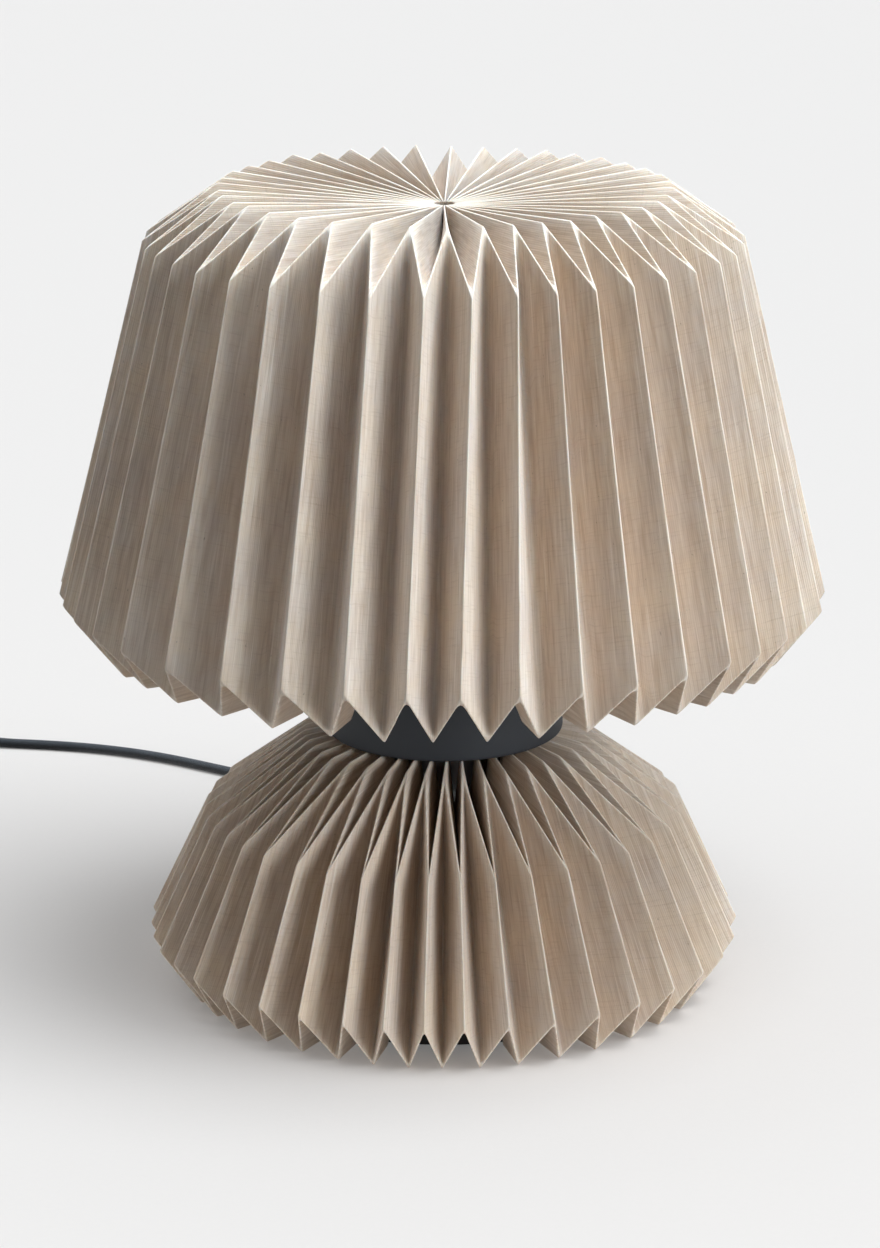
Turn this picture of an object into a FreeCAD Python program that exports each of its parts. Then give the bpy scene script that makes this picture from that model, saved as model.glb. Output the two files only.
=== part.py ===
import FreeCAD, Part
import math
import os
import re

import Sketcher

# A table lamp with a pleated shade and a pleated foot. Millimetres, +Z up, front towards -Y.
# The origin is on the floor, on the lamp's upright axis.

Vector = FreeCAD.Vector
UP = Vector(0, 0, 1)

# ---------------------------------------------------------------------------------------------
# Driving sizes
# ---------------------------------------------------------------------------------------------

SIZES = {
    # both pleated sheets
    "pleat_count": 40,
    "panel_width": 31.8,  # from one fold to the next, along the sheet
    "paper": 0.3,
    "fold_half": 0.2,  # half the width of the flat that a pressed fold leaves
    # the shade: middle line of the folded sheet
    "shade_turn": 2.5,  # bearing of the front ridge, degrees from the front towards +X
    "shade_top_radius": 134.6,
    "shade_top_height": 414.2,
    "shade_hem_radius": 189.6,
    "shade_hem_height": 202.5,
    "shade_dish": 5.5,  # fall of the top towards its centre, degrees
    "shade_eye": 5.5,  # radius of the hole at the centre
    "shade_tuck": 150.0,  # radius of the hem's inner edge
    "gather_wire": 0.45,
    # the foot's sheet
    "base_turn": -0.5,
    "base_top_radius": 100.3,
    "base_top_height": 115.6,
    "base_hem_radius": 148.4,
    "base_rise": 9.0,  # rise of the shoulder towards the collar, degrees
    "base_throat": 50.0,
    "base_tuck": 113.8,
    # the foot
    "pad_inset": 15.3,  # from the plate's rim in to the pad's
    "pad_thick": 2.0,
    "plate_gap": 1.5,
    "plate_thick": 8.0,
    "plate_edge": 1.5,
    "slot_clear": 12.0,  # from the flange's edge out to the end of the lead's slot
    "flange_radius": 35.0,
    "flange_thick": 4.0,
    "stem_radius": 15.0,
    "stem_wall": 1.5,
    "cable_slot_low": 12.0,  # from the flange up to the cable slot
    "cable_slot_long": 50.0,
    "screw_circle": 25.0,
    "screw_count": 3,
    "screw_radius": 2.5,
    "screw_head": 5.0,
    "seat_inset": 39.3,  # from the sheet's shoulder in to the seat's rim
    "seat_thick": 1.5,
    "seat_hub": 18.0,
    "seat_skirt": 12.0,
    "collar_radius": 62.9,
    "collar_height": 47.7,
    "collar_lift": 1.0,  # from the shoulder's ridges up to the collar's edge
    "collar_wall": 1.2,
    "collar_round": 3.0,
    # threaded rod, nut and plug in the stem
    "nipple_radius": 5.0,
    "nipple_bore": 3.6,
    "nipple_length": 28.0,
    "bush_length": 12.0,
    "nut_across": 14.0,
    "nut_thick": 3.0,
    # lampholder
    "cap_radius": 19.8,
    "cap_height": 18.0,
    "cap_wall": 2.4,
    "skirt_radius": 19.5,
    "skirt_bore": 14.7,
    "skirt_height": 36.0,
    "insert_radius": 16.4,
    "insert_thick": 10.0,
    "shell_radius": 14.4,
    "shell_wall": 0.5,
    "shell_height": 26.0,
    "tongue_tail": 9.0,
    "tongue_bend": 5.0,
    "tongue_nose": 4.0,
    "tongue_width": 5.0,
    "tongue_thick": 0.6,
    "tongue_lift": 2.2,
    "ring_radius": 24.5,
    "ring_height": 4.5,
    "ring_notch": 0.8,  # depth of the grip notches and half their width
    "ring_notches": 12,
    "ring_level": 10.0,  # from the skirt's foot to the lower ring
    # shade carrier
    "wire_radius": 2.0,
    "hoop_inset": 34.6,  # from the shade's shoulder in to the hoop
    "washer_radius": 28.0,
    "washer_thick": 2.0,
    "arm_count": 4,
    "arm_foot": 36.0,
    "arm_bend": 8.0,
    # bulb
    "thread_radius": 13.2,
    "thread_height": 21.5,
    "tip_radius": 4.8,
    "tip_height": 2.0,
    "insulator_height": 3.0,
    "insulator_lip": 0.6,
    "shell_bevel": 1.5,
    "shell_thin": 1.0,
    "board_thick": 1.6,
    "board_inset": 3.0,
    "neck_radius": 14.0,
    "bulb_radius": 30.0,
    "bulb_length": 108.0,
    "bulb_seam": 13.0,  # from the globe's widest place down to its seam
    "bulb_wall": 1.3,
    # lead
    "cord_radius": 3.0,
    "cord_level": 6.0,  # height of the lead's axis at the grip
    "grip_radius": 4.6,
    "grip_body": 11.0,
    "grip_taper": 26.0,
    "grip_end": 3.7,
    "grip_grooves": 4,
    "groove_deep": 0.5,
    # switch
    "switch_long": 60.0,
    "switch_wide": 24.0,
    "switch_high": 15.0,
    "switch_level": 6.5,
    "switch_end_flat": 4.0,  # half of the straight part across each end
    "switch_round": 2.5,
    "switch_screw": 1.4,
    "switch_screw_bite": 4.0,
    "rocker_long": 17.0,
    "rocker_wide": 10.0,
    "rocker_tilt": 8.0,  # each half of its top slopes this much
    "rocker_sink": 2.5,  # from the cover's top down to the rocker's pivot
    "rocker_crest": 1.6,
    "rocker_floor": 3.5,
    # plug
    "plug_long": 36.0,
    "plug_wide": 26.0,
    "plug_thick": 13.6,
    "plug_relief": 20.0,
    "plug_tail": 4.2,
    "plug_neck": 5.2,
    "plug_flare": 9.0,
    "plug_draft": 1.0,
    "pin_radius": 2.0,
    "pin_long": 19.0,
    "pin_spacing": 19.0,
    "pin_round": 1.2,
    # clearances
    "running": 0.3,
    "press": 0.05,
}


# ---------------------------------------------------------------------------------------------
# Pleats: the lines on which the folds run
# ---------------------------------------------------------------------------------------------


def pleat_depth(size, radius):
    """Depth of the folds where their middle line is at this radius, as the panels keep their width."""
    half_pitch = 2 * radius * math.sin(math.pi / 2 / size["pleat_count"])
    return math.sqrt(size["panel_width"] ** 2 - half_pitch**2)


def offset_point(first, second, above_first, above_second):
    """The point (r, z) so far along both unit normals, measured from where the two lines cross."""
    det = first[0] * second[1] - first[1] * second[0]
    return (
        (above_first * second[1] - above_second * first[1]) / det,
        (above_second * first[0] - above_first * second[0]) / det,
    )


def fold_stations(size, middle):
    """Where the folds bend. middle is the sheet's middle line, as (r, z): inner end, upper corner,
    lower corner, hem end. A wall ridge lies half the depth outside it. Past a corner the same fold
    is a valley, and the wall valley beside it becomes a ridge. Each station is (fold that is the
    wall ridge, fold that is the wall valley, step to the sheet's outer face, role), where role is
    1 in the wall, -1 in the top and hem, and 0 on the creases between them."""
    runs = [(b[0] - a[0], b[1] - a[1]) for a, b in zip(middle, middle[1:])]
    normals = [(-z / math.hypot(r, z), r / math.hypot(r, z)) for r, z in runs]
    half_paper = size["paper"] / 2
    stations = []

    def end(place, normal):
        height = pleat_depth(size, place[0]) / 2 / normal[1]
        ridge = (place[0], place[1] - height)
        valley = (place[0], place[1] + height)
        stations.append((ridge, valley, (0, half_paper / normal[1]), -1))

    def corner(place, before, after, side):
        half = pleat_depth(size, place[0]) / 2
        step = offset_point(before, after, side * half, -side * half)
        ridge = (place[0] + step[0], place[1] + step[1])
        valley = (place[0] - step[0], place[1] - step[1])
        stations.append((ridge, valley, offset_point(before, after, half_paper, half_paper), 0))

    end(middle[0], normals[0])
    corner(middle[1], normals[0], normals[1], -1)
    corner(middle[2], normals[1], normals[2], 1)
    end(middle[3], normals[2])
    upper, lower = stations[1], stations[2]
    face = (half_paper * normals[1][0], half_paper * normals[1][1])
    stations.insert(2, (between(upper[0], lower[0], 0.5), between(upper[1], lower[1], 0.5), face, 1))
    return stations


def between(a, b, share):
    return (a[0] + (b[0] - a[0]) * share, a[1] + (b[1] - a[1]) * share)


def height_at(a, b, radius):
    """Height of the line from a to b at this radius."""
    return between(a, b, (radius - a[0]) / (b[0] - a[0]))[1]


def shade_middle(size):
    fall = math.tan(math.radians(size["shade_dish"]))
    top = (size["shade_top_radius"], size["shade_top_height"])
    eye = (size["shade_eye"], top[1] - (top[0] - size["shade_eye"]) * fall)
    hem = (size["shade_hem_radius"], size["shade_hem_height"])
    return [eye, top, hem, (size["shade_tuck"], hem[1])]


def base_middle(size):
    rise = math.tan(math.radians(size["base_rise"]))
    top = (size["base_top_radius"], size["base_top_height"])
    throat = (size["base_throat"], top[1] + (top[0] - size["base_throat"]) * rise)
    # the hem's folds lie on the floor
    hem, tuck = [
        (radius, pleat_depth(size, radius) / 2 + size["paper"] / 2)
        for radius in (size["base_hem_radius"], size["base_tuck"])
    ]
    return [throat, top, hem, tuck]


# ---------------------------------------------------------------------------------------------
# Sizes worked out from the driving ones
# ---------------------------------------------------------------------------------------------


def work_out(size):
    """Levels and fits that follow from the driving sizes."""
    w = {}
    shade = fold_stations(size, shade_middle(size))
    base = fold_stations(size, base_middle(size))
    # the hoop lies under the top's valleys, and the seat under the shoulder's
    w["hoop_radius"] = size["shade_top_radius"] - size["hoop_inset"]
    w["hoop_level"] = (
        height_at(shade[0][0], shade[1][0], w["hoop_radius"])
        - size["paper"] / 2
        - size["running"]
        - size["wire_radius"]
    )
    w["gather_level"] = (shade[0][0][1] + shade[0][1][1]) / 2
    w["gather_radius"] = size["shade_eye"] - size["gather_wire"] - size["press"]
    w["seat_radius"] = size["base_top_radius"] - size["seat_inset"]
    w["seat_level"] = (
        height_at(base[0][0], base[1][0], w["seat_radius"])
        - size["paper"] / 2
        - size["running"]
        - size["seat_thick"]
    )
    w["collar_level"] = (
        height_at(base[0][1], base[1][1], size["collar_radius"])
        + size["paper"] / 2
        + size["collar_lift"]
    )
    w["plate_radius"] = size["base_tuck"] - size["plate_gap"]
    w["pad_radius"] = w["plate_radius"] - size["pad_inset"]
    w["plate_level"] = size["pad_thick"]
    w["flange_level"] = w["plate_level"] + size["plate_thick"]
    w["collar_top"] = w["collar_level"] + size["collar_height"]
    w["stem_top"] = w["collar_top"] - size["collar_wall"]
    w["nut_level"] = w["collar_top"]
    w["cap_level"] = w["nut_level"] + size["nut_thick"]
    w["nipple_level"] = w["stem_top"] - size["bush_length"]
    w["skirt_level"] = w["cap_level"] + size["cap_height"]
    w["insert_level"] = w["skirt_level"] - size["insert_thick"] / 2
    w["shell_level"] = w["insert_level"] + size["insert_thick"]
    w["ring_lower_level"] = w["skirt_level"] + size["ring_level"]
    w["washer_level"] = w["ring_lower_level"] + size["ring_height"]
    w["ring_upper_level"] = w["washer_level"] + size["washer_thick"]
    w["bulb_level"] = w["shell_level"] + size["tongue_lift"] + size["running"]
    w["globe_level"] = w["bulb_level"] + size["bulb_length"] - size["bulb_radius"]
    # the lead leaves under the rear wall ridge that is nearest to straight back
    pitch = 360 / size["pleat_count"]
    w["cord_bearing"] = size["base_turn"] + pitch * round(180 / pitch) - 180
    w["grip_start"] = w["plate_radius"] - size["grip_body"]
    w["grip_stop"] = w["plate_radius"] + size["grip_taper"]
    return w


SIZES.update(work_out(SIZES))


def value(name):
    return SIZES[name]


# ---------------------------------------------------------------------------------------------
# Document, sheet and the tools of this file
# ---------------------------------------------------------------------------------------------

doc = FreeCAD.newDocument("PleatedLamp")
sheet = doc.addObject("Spreadsheet::Sheet", "Sizes")
for row, (name, number) in enumerate(SIZES.items(), start=1):
    sheet.set(f"A{row}", name)
    sheet.set(f"B{row}", str(number))
    sheet.setAlias(f"B{row}", name)
doc.recompute()

pieces = {}


def bound(text):
    """An expression with each size's name pointing at the sheet."""
    return re.sub(r"[a-z_]+", lambda word: f"Sizes.{word[0]}" if word[0] in SIZES else word[0], text)


def worth(text):
    return float(sheet.evalExpression(bound(text)))


def bind(item, **properties):
    """Binds properties of an object to expressions of the sheet."""
    for name, text in properties.items():
        item.setExpression(name, bound(text))


def lift(item, level):
    item.setExpression("Placement.Base.z", bound(level))


def keep(item, label):
    """Names a finished sub-part."""
    item.Label = label
    pieces[label] = item
    return item


def new_body(label):
    return keep(doc.addObject("PartDesign::Body", f"{label}_body"), label)


def plane_of(body, role):
    return next(item for item in body.Origin.OriginFeatures if item.Role == role)


def outline(body, plane, corners):
    """A closed sketch through corners, each a pair of expressions measured from the origin."""
    sketch = body.newObject("Sketcher::SketchObject", f"{body.Name}_outline")
    sketch.AttachmentSupport = [(plane_of(body, plane), "")]
    sketch.MapMode = "FlatFace"
    points = [Vector(worth(x), worth(y), 0) for x, y in corners]
    for start, stop in zip(points, points[1:] + points[:1]):
        sketch.addGeometry(Part.LineSegment(start, stop))
    for i, (x, y) in enumerate(corners):
        sketch.addConstraint(Sketcher.Constraint("Coincident", i, 2, (i + 1) % len(corners), 1))
    for i, (x, y) in enumerate(corners):
        for kind, text in (("DistanceX", x), ("DistanceY", y)):
            held = sketch.addConstraint(Sketcher.Constraint(kind, -1, 1, i, 1, worth(text)))
            sketch.setExpression(f"Constraints[{held}]", bound(text))
    return sketch


def disc_sketch(body, plane, radius, x="0", y="0"):
    """A circle's sketch, its radius and centre given by expressions."""
    sketch = body.newObject("Sketcher::SketchObject", f"{body.Name}_disc")
    sketch.AttachmentSupport = [(plane_of(body, plane), "")]
    sketch.MapMode = "FlatFace"
    sketch.addGeometry(Part.Circle(Vector(worth(x), worth(y), 0), UP, worth(radius)))
    for kind, text in (("DistanceX", x), ("DistanceY", y)):
        held = sketch.addConstraint(Sketcher.Constraint(kind, -1, 1, 0, 3, worth(text)))
        sketch.setExpression(f"Constraints[{held}]", bound(text))
    held = sketch.addConstraint(Sketcher.Constraint("Radius", 0, worth(radius)))
    sketch.setExpression(f"Constraints[{held}]", bound(radius))
    return sketch


def revolve(body, corners):
    """Turns an outline of (radius, height) expressions about the body's upright axis."""
    sketch = outline(body, "XZ_Plane", corners)
    turned = body.newObject("PartDesign::Revolution", f"{body.Name}_turned")
    turned.Profile = sketch
    turned.ReferenceAxis = (sketch, ["V_Axis"])
    turned.Angle = 360
    return turned


def turned(label, corners, level="0"):
    """A sub-part made on a lathe."""
    body = new_body(label)
    revolve(body, corners)
    lift(body, level)
    return body


def pad(body, sketch, length, symmetric=False):
    made = body.newObject("PartDesign::Pad", f"{body.Name}_pad")
    made.Profile = sketch
    made.Midplane = symmetric
    bind(made, Length=length)
    return made


def pocket(body, sketch, length, reverse=False, symmetric=False):
    """Cuts a sketch out of a body, and stops if nothing was cut."""
    doc.recompute()
    before = body.Shape.Volume
    made = body.newObject("PartDesign::Pocket", f"{body.Name}_pocket")
    made.Profile = sketch
    made.Reversed = reverse
    made.Midplane = symmetric
    bind(made, Length=length)
    doc.recompute()
    assert body.Shape.Volume < before - 1e-3, f"{made.Name} cut nothing"
    return made


def pattern(body, feature, count):
    """Repeats a feature round the body's upright axis."""
    made = body.newObject("PartDesign::PolarPattern", f"{body.Name}_pattern")
    made.Originals = [feature]
    made.Axis = (plane_of(body, "Z_Axis"), [""])
    made.Angle = 360
    bind(made, Occurrences=count)
    body.Tip = made
    return made


def round_edges(body, feature, chosen, radius):
    """Fillets the edges that the test picks, by their shapes."""
    doc.recompute()
    names = [f"Edge{i + 1}" for i, edge in enumerate(feature.Shape.Edges) if chosen(edge)]
    made = body.newObject("PartDesign::Fillet", f"{body.Name}_round")
    made.Base = (feature, names)
    bind(made, Radius=radius)
    return made


def circle_at(radius, level):
    """A test for the circular edges of this radius at this level of the body."""

    def chosen(edge):
        round_edge = isinstance(edge.Curve, Part.Circle)
        return (
            round_edge
            and abs(edge.Curve.Radius - worth(radius)) < 0.01
            and abs(edge.Curve.Center.z - worth(level)) < 0.01
        )

    return chosen


def plain(name, shape):
    """A document object that holds a shape made with Part's own functions."""
    item = doc.addObject("Part::Feature", name)
    item.Shape = shape
    return item


def primitive(kind, name, **properties):
    item = doc.addObject(f"Part::{kind}", name)
    bind(item, **properties)
    return item


def fused(name, items):
    item = doc.addObject("Part::MultiFuse", name)
    item.Shapes = items
    return item


def group(name, items):
    item = doc.addObject("Part::Compound", name)
    item.Links = items
    return item


# ---------------------------------------------------------------------------------------------
# Paths and tubes
# ---------------------------------------------------------------------------------------------


def arc_edge(start, corner, stop):
    """The arc from start to stop that leaves towards corner; the two lie as far from it."""
    out, back = (start - corner).normalize(), (stop - corner).normalize()
    half = out.getAngle(back) / 2
    reach = (start - corner).Length
    centre = corner + (out + back).normalize() * (reach / math.cos(half))
    middle = centre + (corner - centre).normalize() * (reach * math.tan(half))
    return Part.Arc(start, middle, stop).toShape()


def rounded_path(name, points, share=0.45):
    """Straight runs joined by tangent arcs, each as large as this share of its runs allows."""
    edges, here, radii = [], points[0], []
    for before, corner, after in zip(points, points[1:], points[2:]):
        reach = share * min((corner - before).Length, (after - corner).Length)
        turn = (corner - before).getAngle(after - corner)
        start = corner + (before - corner).normalize() * reach
        stop = corner + (after - corner).normalize() * reach
        edges += [Part.LineSegment(here, start).toShape(), arc_edge(start, corner, stop)]
        radii.append(reach / math.tan(turn / 2))
        here = stop
    edges.append(Part.LineSegment(here, points[-1]).toShape())
    print(name, "arc radii", [round(radius, 1) for radius in radii])
    return Part.Wire(edges)


def biarc(start, start_way, stop, stop_way):
    """Two arcs from start to stop with these unit directions at their ends, tangent where they meet."""
    chord, ways = stop - start, start_way + stop_way
    a, b, c = ways.dot(ways) - 4, -2 * chord.dot(ways), chord.dot(chord)
    reach = 2 * c / (math.sqrt(b * b - 4 * a * c) - b)
    near, far = start + start_way * reach, stop - stop_way * reach
    joint = (near + far) / 2
    return [arc_edge(start, near, joint), arc_edge(joint, far, stop)]


def tube(path, radius):
    """The lead as an eight-sided tube that lies on one of its sides, checked for its volume."""
    start = path.OrderedEdges[0]
    place, way = start.valueAt(start.FirstParameter), start.tangentAt(start.FirstParameter)
    side = UP.cross(way).normalize()
    rise = way.cross(side)
    eighth = math.pi / 8
    corners = []
    for k in range(9):
        turn = eighth * (2 * k + 1)
        reach = radius / math.cos(eighth)
        corners.append(place + side * (reach * math.cos(turn)) + rise * (reach * math.sin(turn)))
    solid = path.makePipeShell([Part.makePolygon(corners)], True, False)
    expected = 8 * radius**2 * math.tan(eighth) * path.Length
    assert abs(solid.Volume / expected - 1) < 0.01, f"tube of {path.Length:.0f} mm is off its volume"
    return solid


def bearing_point(along, level):
    """A point over the line on which the lead leaves the foot."""
    turn = math.radians(value("cord_bearing"))
    return Vector(-along * math.sin(turn), along * math.cos(turn), level)


# ---------------------------------------------------------------------------------------------
# Pleated sheets
# ---------------------------------------------------------------------------------------------


def pleated_sheet(middle, bearing):
    """One folded sheet as a solid of flat facets: an outer and an inner face, and two cut ends."""
    stations = fold_stations(SIZES, middle)
    count, flat, half_paper = int(value("pleat_count")), value("fold_half"), value("paper") / 2
    points = []
    for face in (1, -1):
        for ridge, valley, step, role in stations:
            for k in range(count):
                for fold, share, rank in ((ridge, 0.0, role), (valley, 0.5, -role)):
                    turn = math.radians(bearing + (k + share) * 360 / count)
                    out = Vector(math.sin(turn), -math.cos(turn), 0)
                    along = Vector(math.cos(turn), math.sin(turn), 0)
                    half = flat + face * rank * half_paper
                    place = out * (fold[0] + face * step[0]) + UP * (fold[1] + face * step[1])
                    points += [place - along * half, place + along * half]
    ring, rows = 4 * count, len(stations)
    inner = rows * ring
    facets = []

    def patch(a, b, c, d, flip):
        facets.extend([(a, b, d), (b, c, d)] if flip else [(a, b, c), (a, c, d)])

    for i in range(ring):
        j, flip = (i + 1) % ring, i % 4 > 1
        for row in range(rows - 1):
            upper, lower = row * ring, (row + 1) * ring
            patch(upper + i, lower + i, lower + j, upper + j, flip)
            patch(inner + upper + j, inner + lower + j, inner + lower + i, inner + upper + i, not flip)
        last = (rows - 1) * ring
        patch(i, j, inner + j, inner + i, flip)
        patch(inner + last + i, inner + last + j, last + j, last + i, flip)
    shell = Part.Shape()
    shell.makeShapeFromMesh((points, facets), 1e-4)
    solid = Part.Solid(Part.Shell(shell.Faces))
    if solid.Volume < 0:
        solid.reverse()
    return solid


def make_pleats():
    keep(plain("shade_sheet", pleated_sheet(shade_middle(SIZES), value("shade_turn"))), "shade_pleats")
    keep(plain("base_sheet", pleated_sheet(base_middle(SIZES), value("base_turn"))), "base_pleats")
    gather = primitive("Torus", "gather_ring", Radius1="gather_radius", Radius2="gather_wire")
    lift(gather, "gather_level")
    keep(gather, "gather_cord")


# ---------------------------------------------------------------------------------------------
# Foot: pad, weight, stem, seat and collar
# ---------------------------------------------------------------------------------------------


def make_foot():
    turned("base_pad", [("0", "0"), ("pad_radius", "0"), ("pad_radius", "pad_thick"), ("0", "pad_thick")])

    plate = turned(
        "base_plate",
        [
            ("0", "0"),
            ("plate_radius", "0"),
            ("plate_radius", "plate_thick - plate_edge"),
            ("plate_radius - plate_edge", "plate_thick"),
            ("0", "plate_thick"),
        ],
        "plate_level",
    )
    # the lead's slot, wider at the rim where the grip sits
    slots = (("cord_radius + running", "flange_radius + slot_clear"), ("grip_radius + press", "grip_start"))
    for half, inner in slots:
        corners = [
            (f"-({half})", inner),
            (half, inner),
            (half, "plate_radius + 1"),
            (f"-({half})", "plate_radius + 1"),
        ]
        pocket(plate, outline(plate, "XY_Plane", corners), "plate_thick", reverse=True)
    hole = pocket(
        plate,
        disc_sketch(plate, "XY_Plane", "screw_radius + press", y="-screw_circle"),
        "plate_thick",
        reverse=True,
    )
    pattern(plate, hole, "screw_count")
    sink = pocket(
        plate,
        disc_sketch(plate, "XY_Plane", "screw_head + press", y="-screw_circle"),
        "screw_radius + press",
        reverse=True,
    )
    pattern(plate, sink, "screw_count")
    bind(plate, **{"Placement.Rotation.Angle": "cord_bearing"})

    screws = []
    for k in range(int(value("screw_count"))):
        turn = math.radians(value("cord_bearing") - 90 + k * 360 / value("screw_count"))
        shank = primitive("Cylinder", f"screw_shank_{k}", Radius="screw_radius")
        bind(shank, Height="plate_thick + flange_thick - press")
        head = primitive("Cylinder", f"screw_head_{k}", Radius="screw_head", Height="screw_radius")
        screw = fused(f"screw_{k}", [shank, head])
        place = Vector(math.cos(turn), math.sin(turn), 0) * value("screw_circle")
        screw.Placement = FreeCAD.Placement(place + UP * value("plate_level"), FreeCAD.Rotation())
        screws.append(screw)
    keep(group("base_screw_set", screws), "base_screws")

    stem = turned(
        "stem",
        [
            ("stem_radius - stem_wall", "0"),
            ("flange_radius", "0"),
            ("flange_radius", "flange_thick"),
            ("stem_radius", "flange_thick"),
            ("stem_radius", "stem_top - flange_level"),
            ("stem_radius - stem_wall", "stem_top - flange_level"),
        ],
        "flange_level",
    )
    low = "flange_thick + cable_slot_low"
    cable_slot = [
        ("-cord_radius - 1", low),
        ("cord_radius + 1", low),
        ("cord_radius + 1", f"{low} + cable_slot_long"),
        ("-cord_radius - 1", f"{low} + cable_slot_long"),
    ]
    pocket(stem, outline(stem, "XZ_Plane", cable_slot), "stem_radius + 1")
    hole = pocket(
        stem,
        disc_sketch(stem, "XY_Plane", "screw_radius + press", y="-screw_circle"),
        "flange_thick",
        reverse=True,
    )
    pattern(stem, hole, "screw_count")
    bind(stem, **{"Placement.Rotation.Angle": "cord_bearing"})

    bush = [
        ("nipple_radius + press", "0"),
        ("stem_radius - stem_wall - press", "0"),
        ("stem_radius - stem_wall - press", "bush_length"),
        ("nipple_radius + press", "bush_length"),
    ]
    turned("stem_bush", bush, "stem_top - bush_length")
    turned(
        "pleat_seat",
        [
            ("stem_radius + press", "-seat_skirt"),
            ("seat_hub", "-seat_skirt"),
            ("seat_hub", "0"),
            ("seat_radius", "0"),
            ("seat_radius", "seat_thick"),
            ("stem_radius + press", "seat_thick"),
        ],
        "seat_level",
    )
    collar = new_body("collar")
    shell = revolve(
        collar,
        [
            ("collar_radius - collar_wall", "0"),
            ("collar_radius", "0"),
            ("collar_radius", "collar_height"),
            ("nipple_radius + running", "collar_height"),
            ("nipple_radius + running", "collar_height - collar_wall"),
            ("collar_radius - collar_wall", "collar_height - collar_wall"),
        ],
    )
    round_edges(collar, shell, circle_at("collar_radius", "collar_height"), "collar_round")
    lift(collar, "collar_level")


# ---------------------------------------------------------------------------------------------
# Lampholder and shade carrier
# ---------------------------------------------------------------------------------------------


def make_holder():
    nipple = [
        ("nipple_bore", "0"),
        ("nipple_radius", "0"),
        ("nipple_radius", "nipple_length"),
        ("nipple_bore", "nipple_length"),
    ]
    turned("nipple", nipple, "nipple_level")
    nut = new_body("lock_nut")
    corner = "nut_across / 2 / cos(30)"
    hexagon = [(f"{corner} * cos({60 * k})", f"{corner} * sin({60 * k})") for k in range(6)]
    pad(nut, outline(nut, "XY_Plane", hexagon), "nut_thick")
    pocket(nut, disc_sketch(nut, "XY_Plane", "nipple_radius + press"), "nut_thick", reverse=True)
    lift(nut, "nut_level")

    cap = new_body("holder_cap")
    cup = revolve(
        cap,
        [
            ("nipple_radius + press", "0"),
            ("cap_radius", "0"),
            ("cap_radius", "cap_height"),
            ("cap_radius - cap_wall", "cap_height"),
            ("cap_radius - cap_wall", "cap_wall"),
            ("nipple_radius + press", "cap_wall"),
        ],
    )
    round_edges(cap, cup, circle_at("cap_radius", "0"), "cap_wall * 2")
    lift(cap, "cap_level")

    insert = [("0", "0"), ("insert_radius", "0"), ("insert_radius", "insert_thick / 2")]
    insert += [("skirt_bore - press", "insert_thick / 2"), ("skirt_bore - press", "insert_thick")]
    turned("holder_insert", insert + [("0", "insert_thick")], "insert_level")
    turned(
        "holder_body",
        [
            ("skirt_bore", "0"),
            ("skirt_radius", "0"),
            ("skirt_radius", "skirt_height"),
            ("skirt_bore", "skirt_height"),
        ],
        "skirt_level",
    )
    shell = [
        ("shell_radius - shell_wall", "0"),
        ("shell_radius", "0"),
        ("shell_radius", "shell_height"),
        ("shell_radius - shell_wall", "shell_height"),
    ]
    turned("holder_shell", shell, "shell_level")
    # the tongue springs up from the insert to meet the bulb's tip
    tongue = new_body("holder_contact")
    bent = [
        ("-tongue_tail", "0"),
        ("-tongue_bend", "0"),
        ("tongue_nose", "tongue_lift - tongue_thick"),
        ("tongue_nose", "tongue_lift"),
        ("-tongue_bend - tongue_thick / 2", "tongue_thick"),
        ("-tongue_tail", "tongue_thick"),
    ]
    pad(tongue, outline(tongue, "XZ_Plane", bent), "tongue_width", symmetric=True)
    lift(tongue, "shell_level")

    for label, level in (("ring_lower", "ring_lower_level"), ("ring_upper", "ring_upper_level")):
        ring = turned(
            label,
            [
                ("skirt_radius + press", "0"),
                ("ring_radius", "0"),
                ("ring_radius", "ring_height"),
                ("skirt_radius + press", "ring_height"),
            ],
            level,
        )
        notch = [
            ("-ring_notch", "ring_radius - ring_notch"),
            ("ring_notch", "ring_radius - ring_notch"),
            ("ring_notch", "ring_radius + 1"),
            ("-ring_notch", "ring_radius + 1"),
        ]
        grip = pocket(ring, outline(ring, "XY_Plane", notch), "ring_height", reverse=True)
        pattern(ring, grip, "ring_notches")


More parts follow.
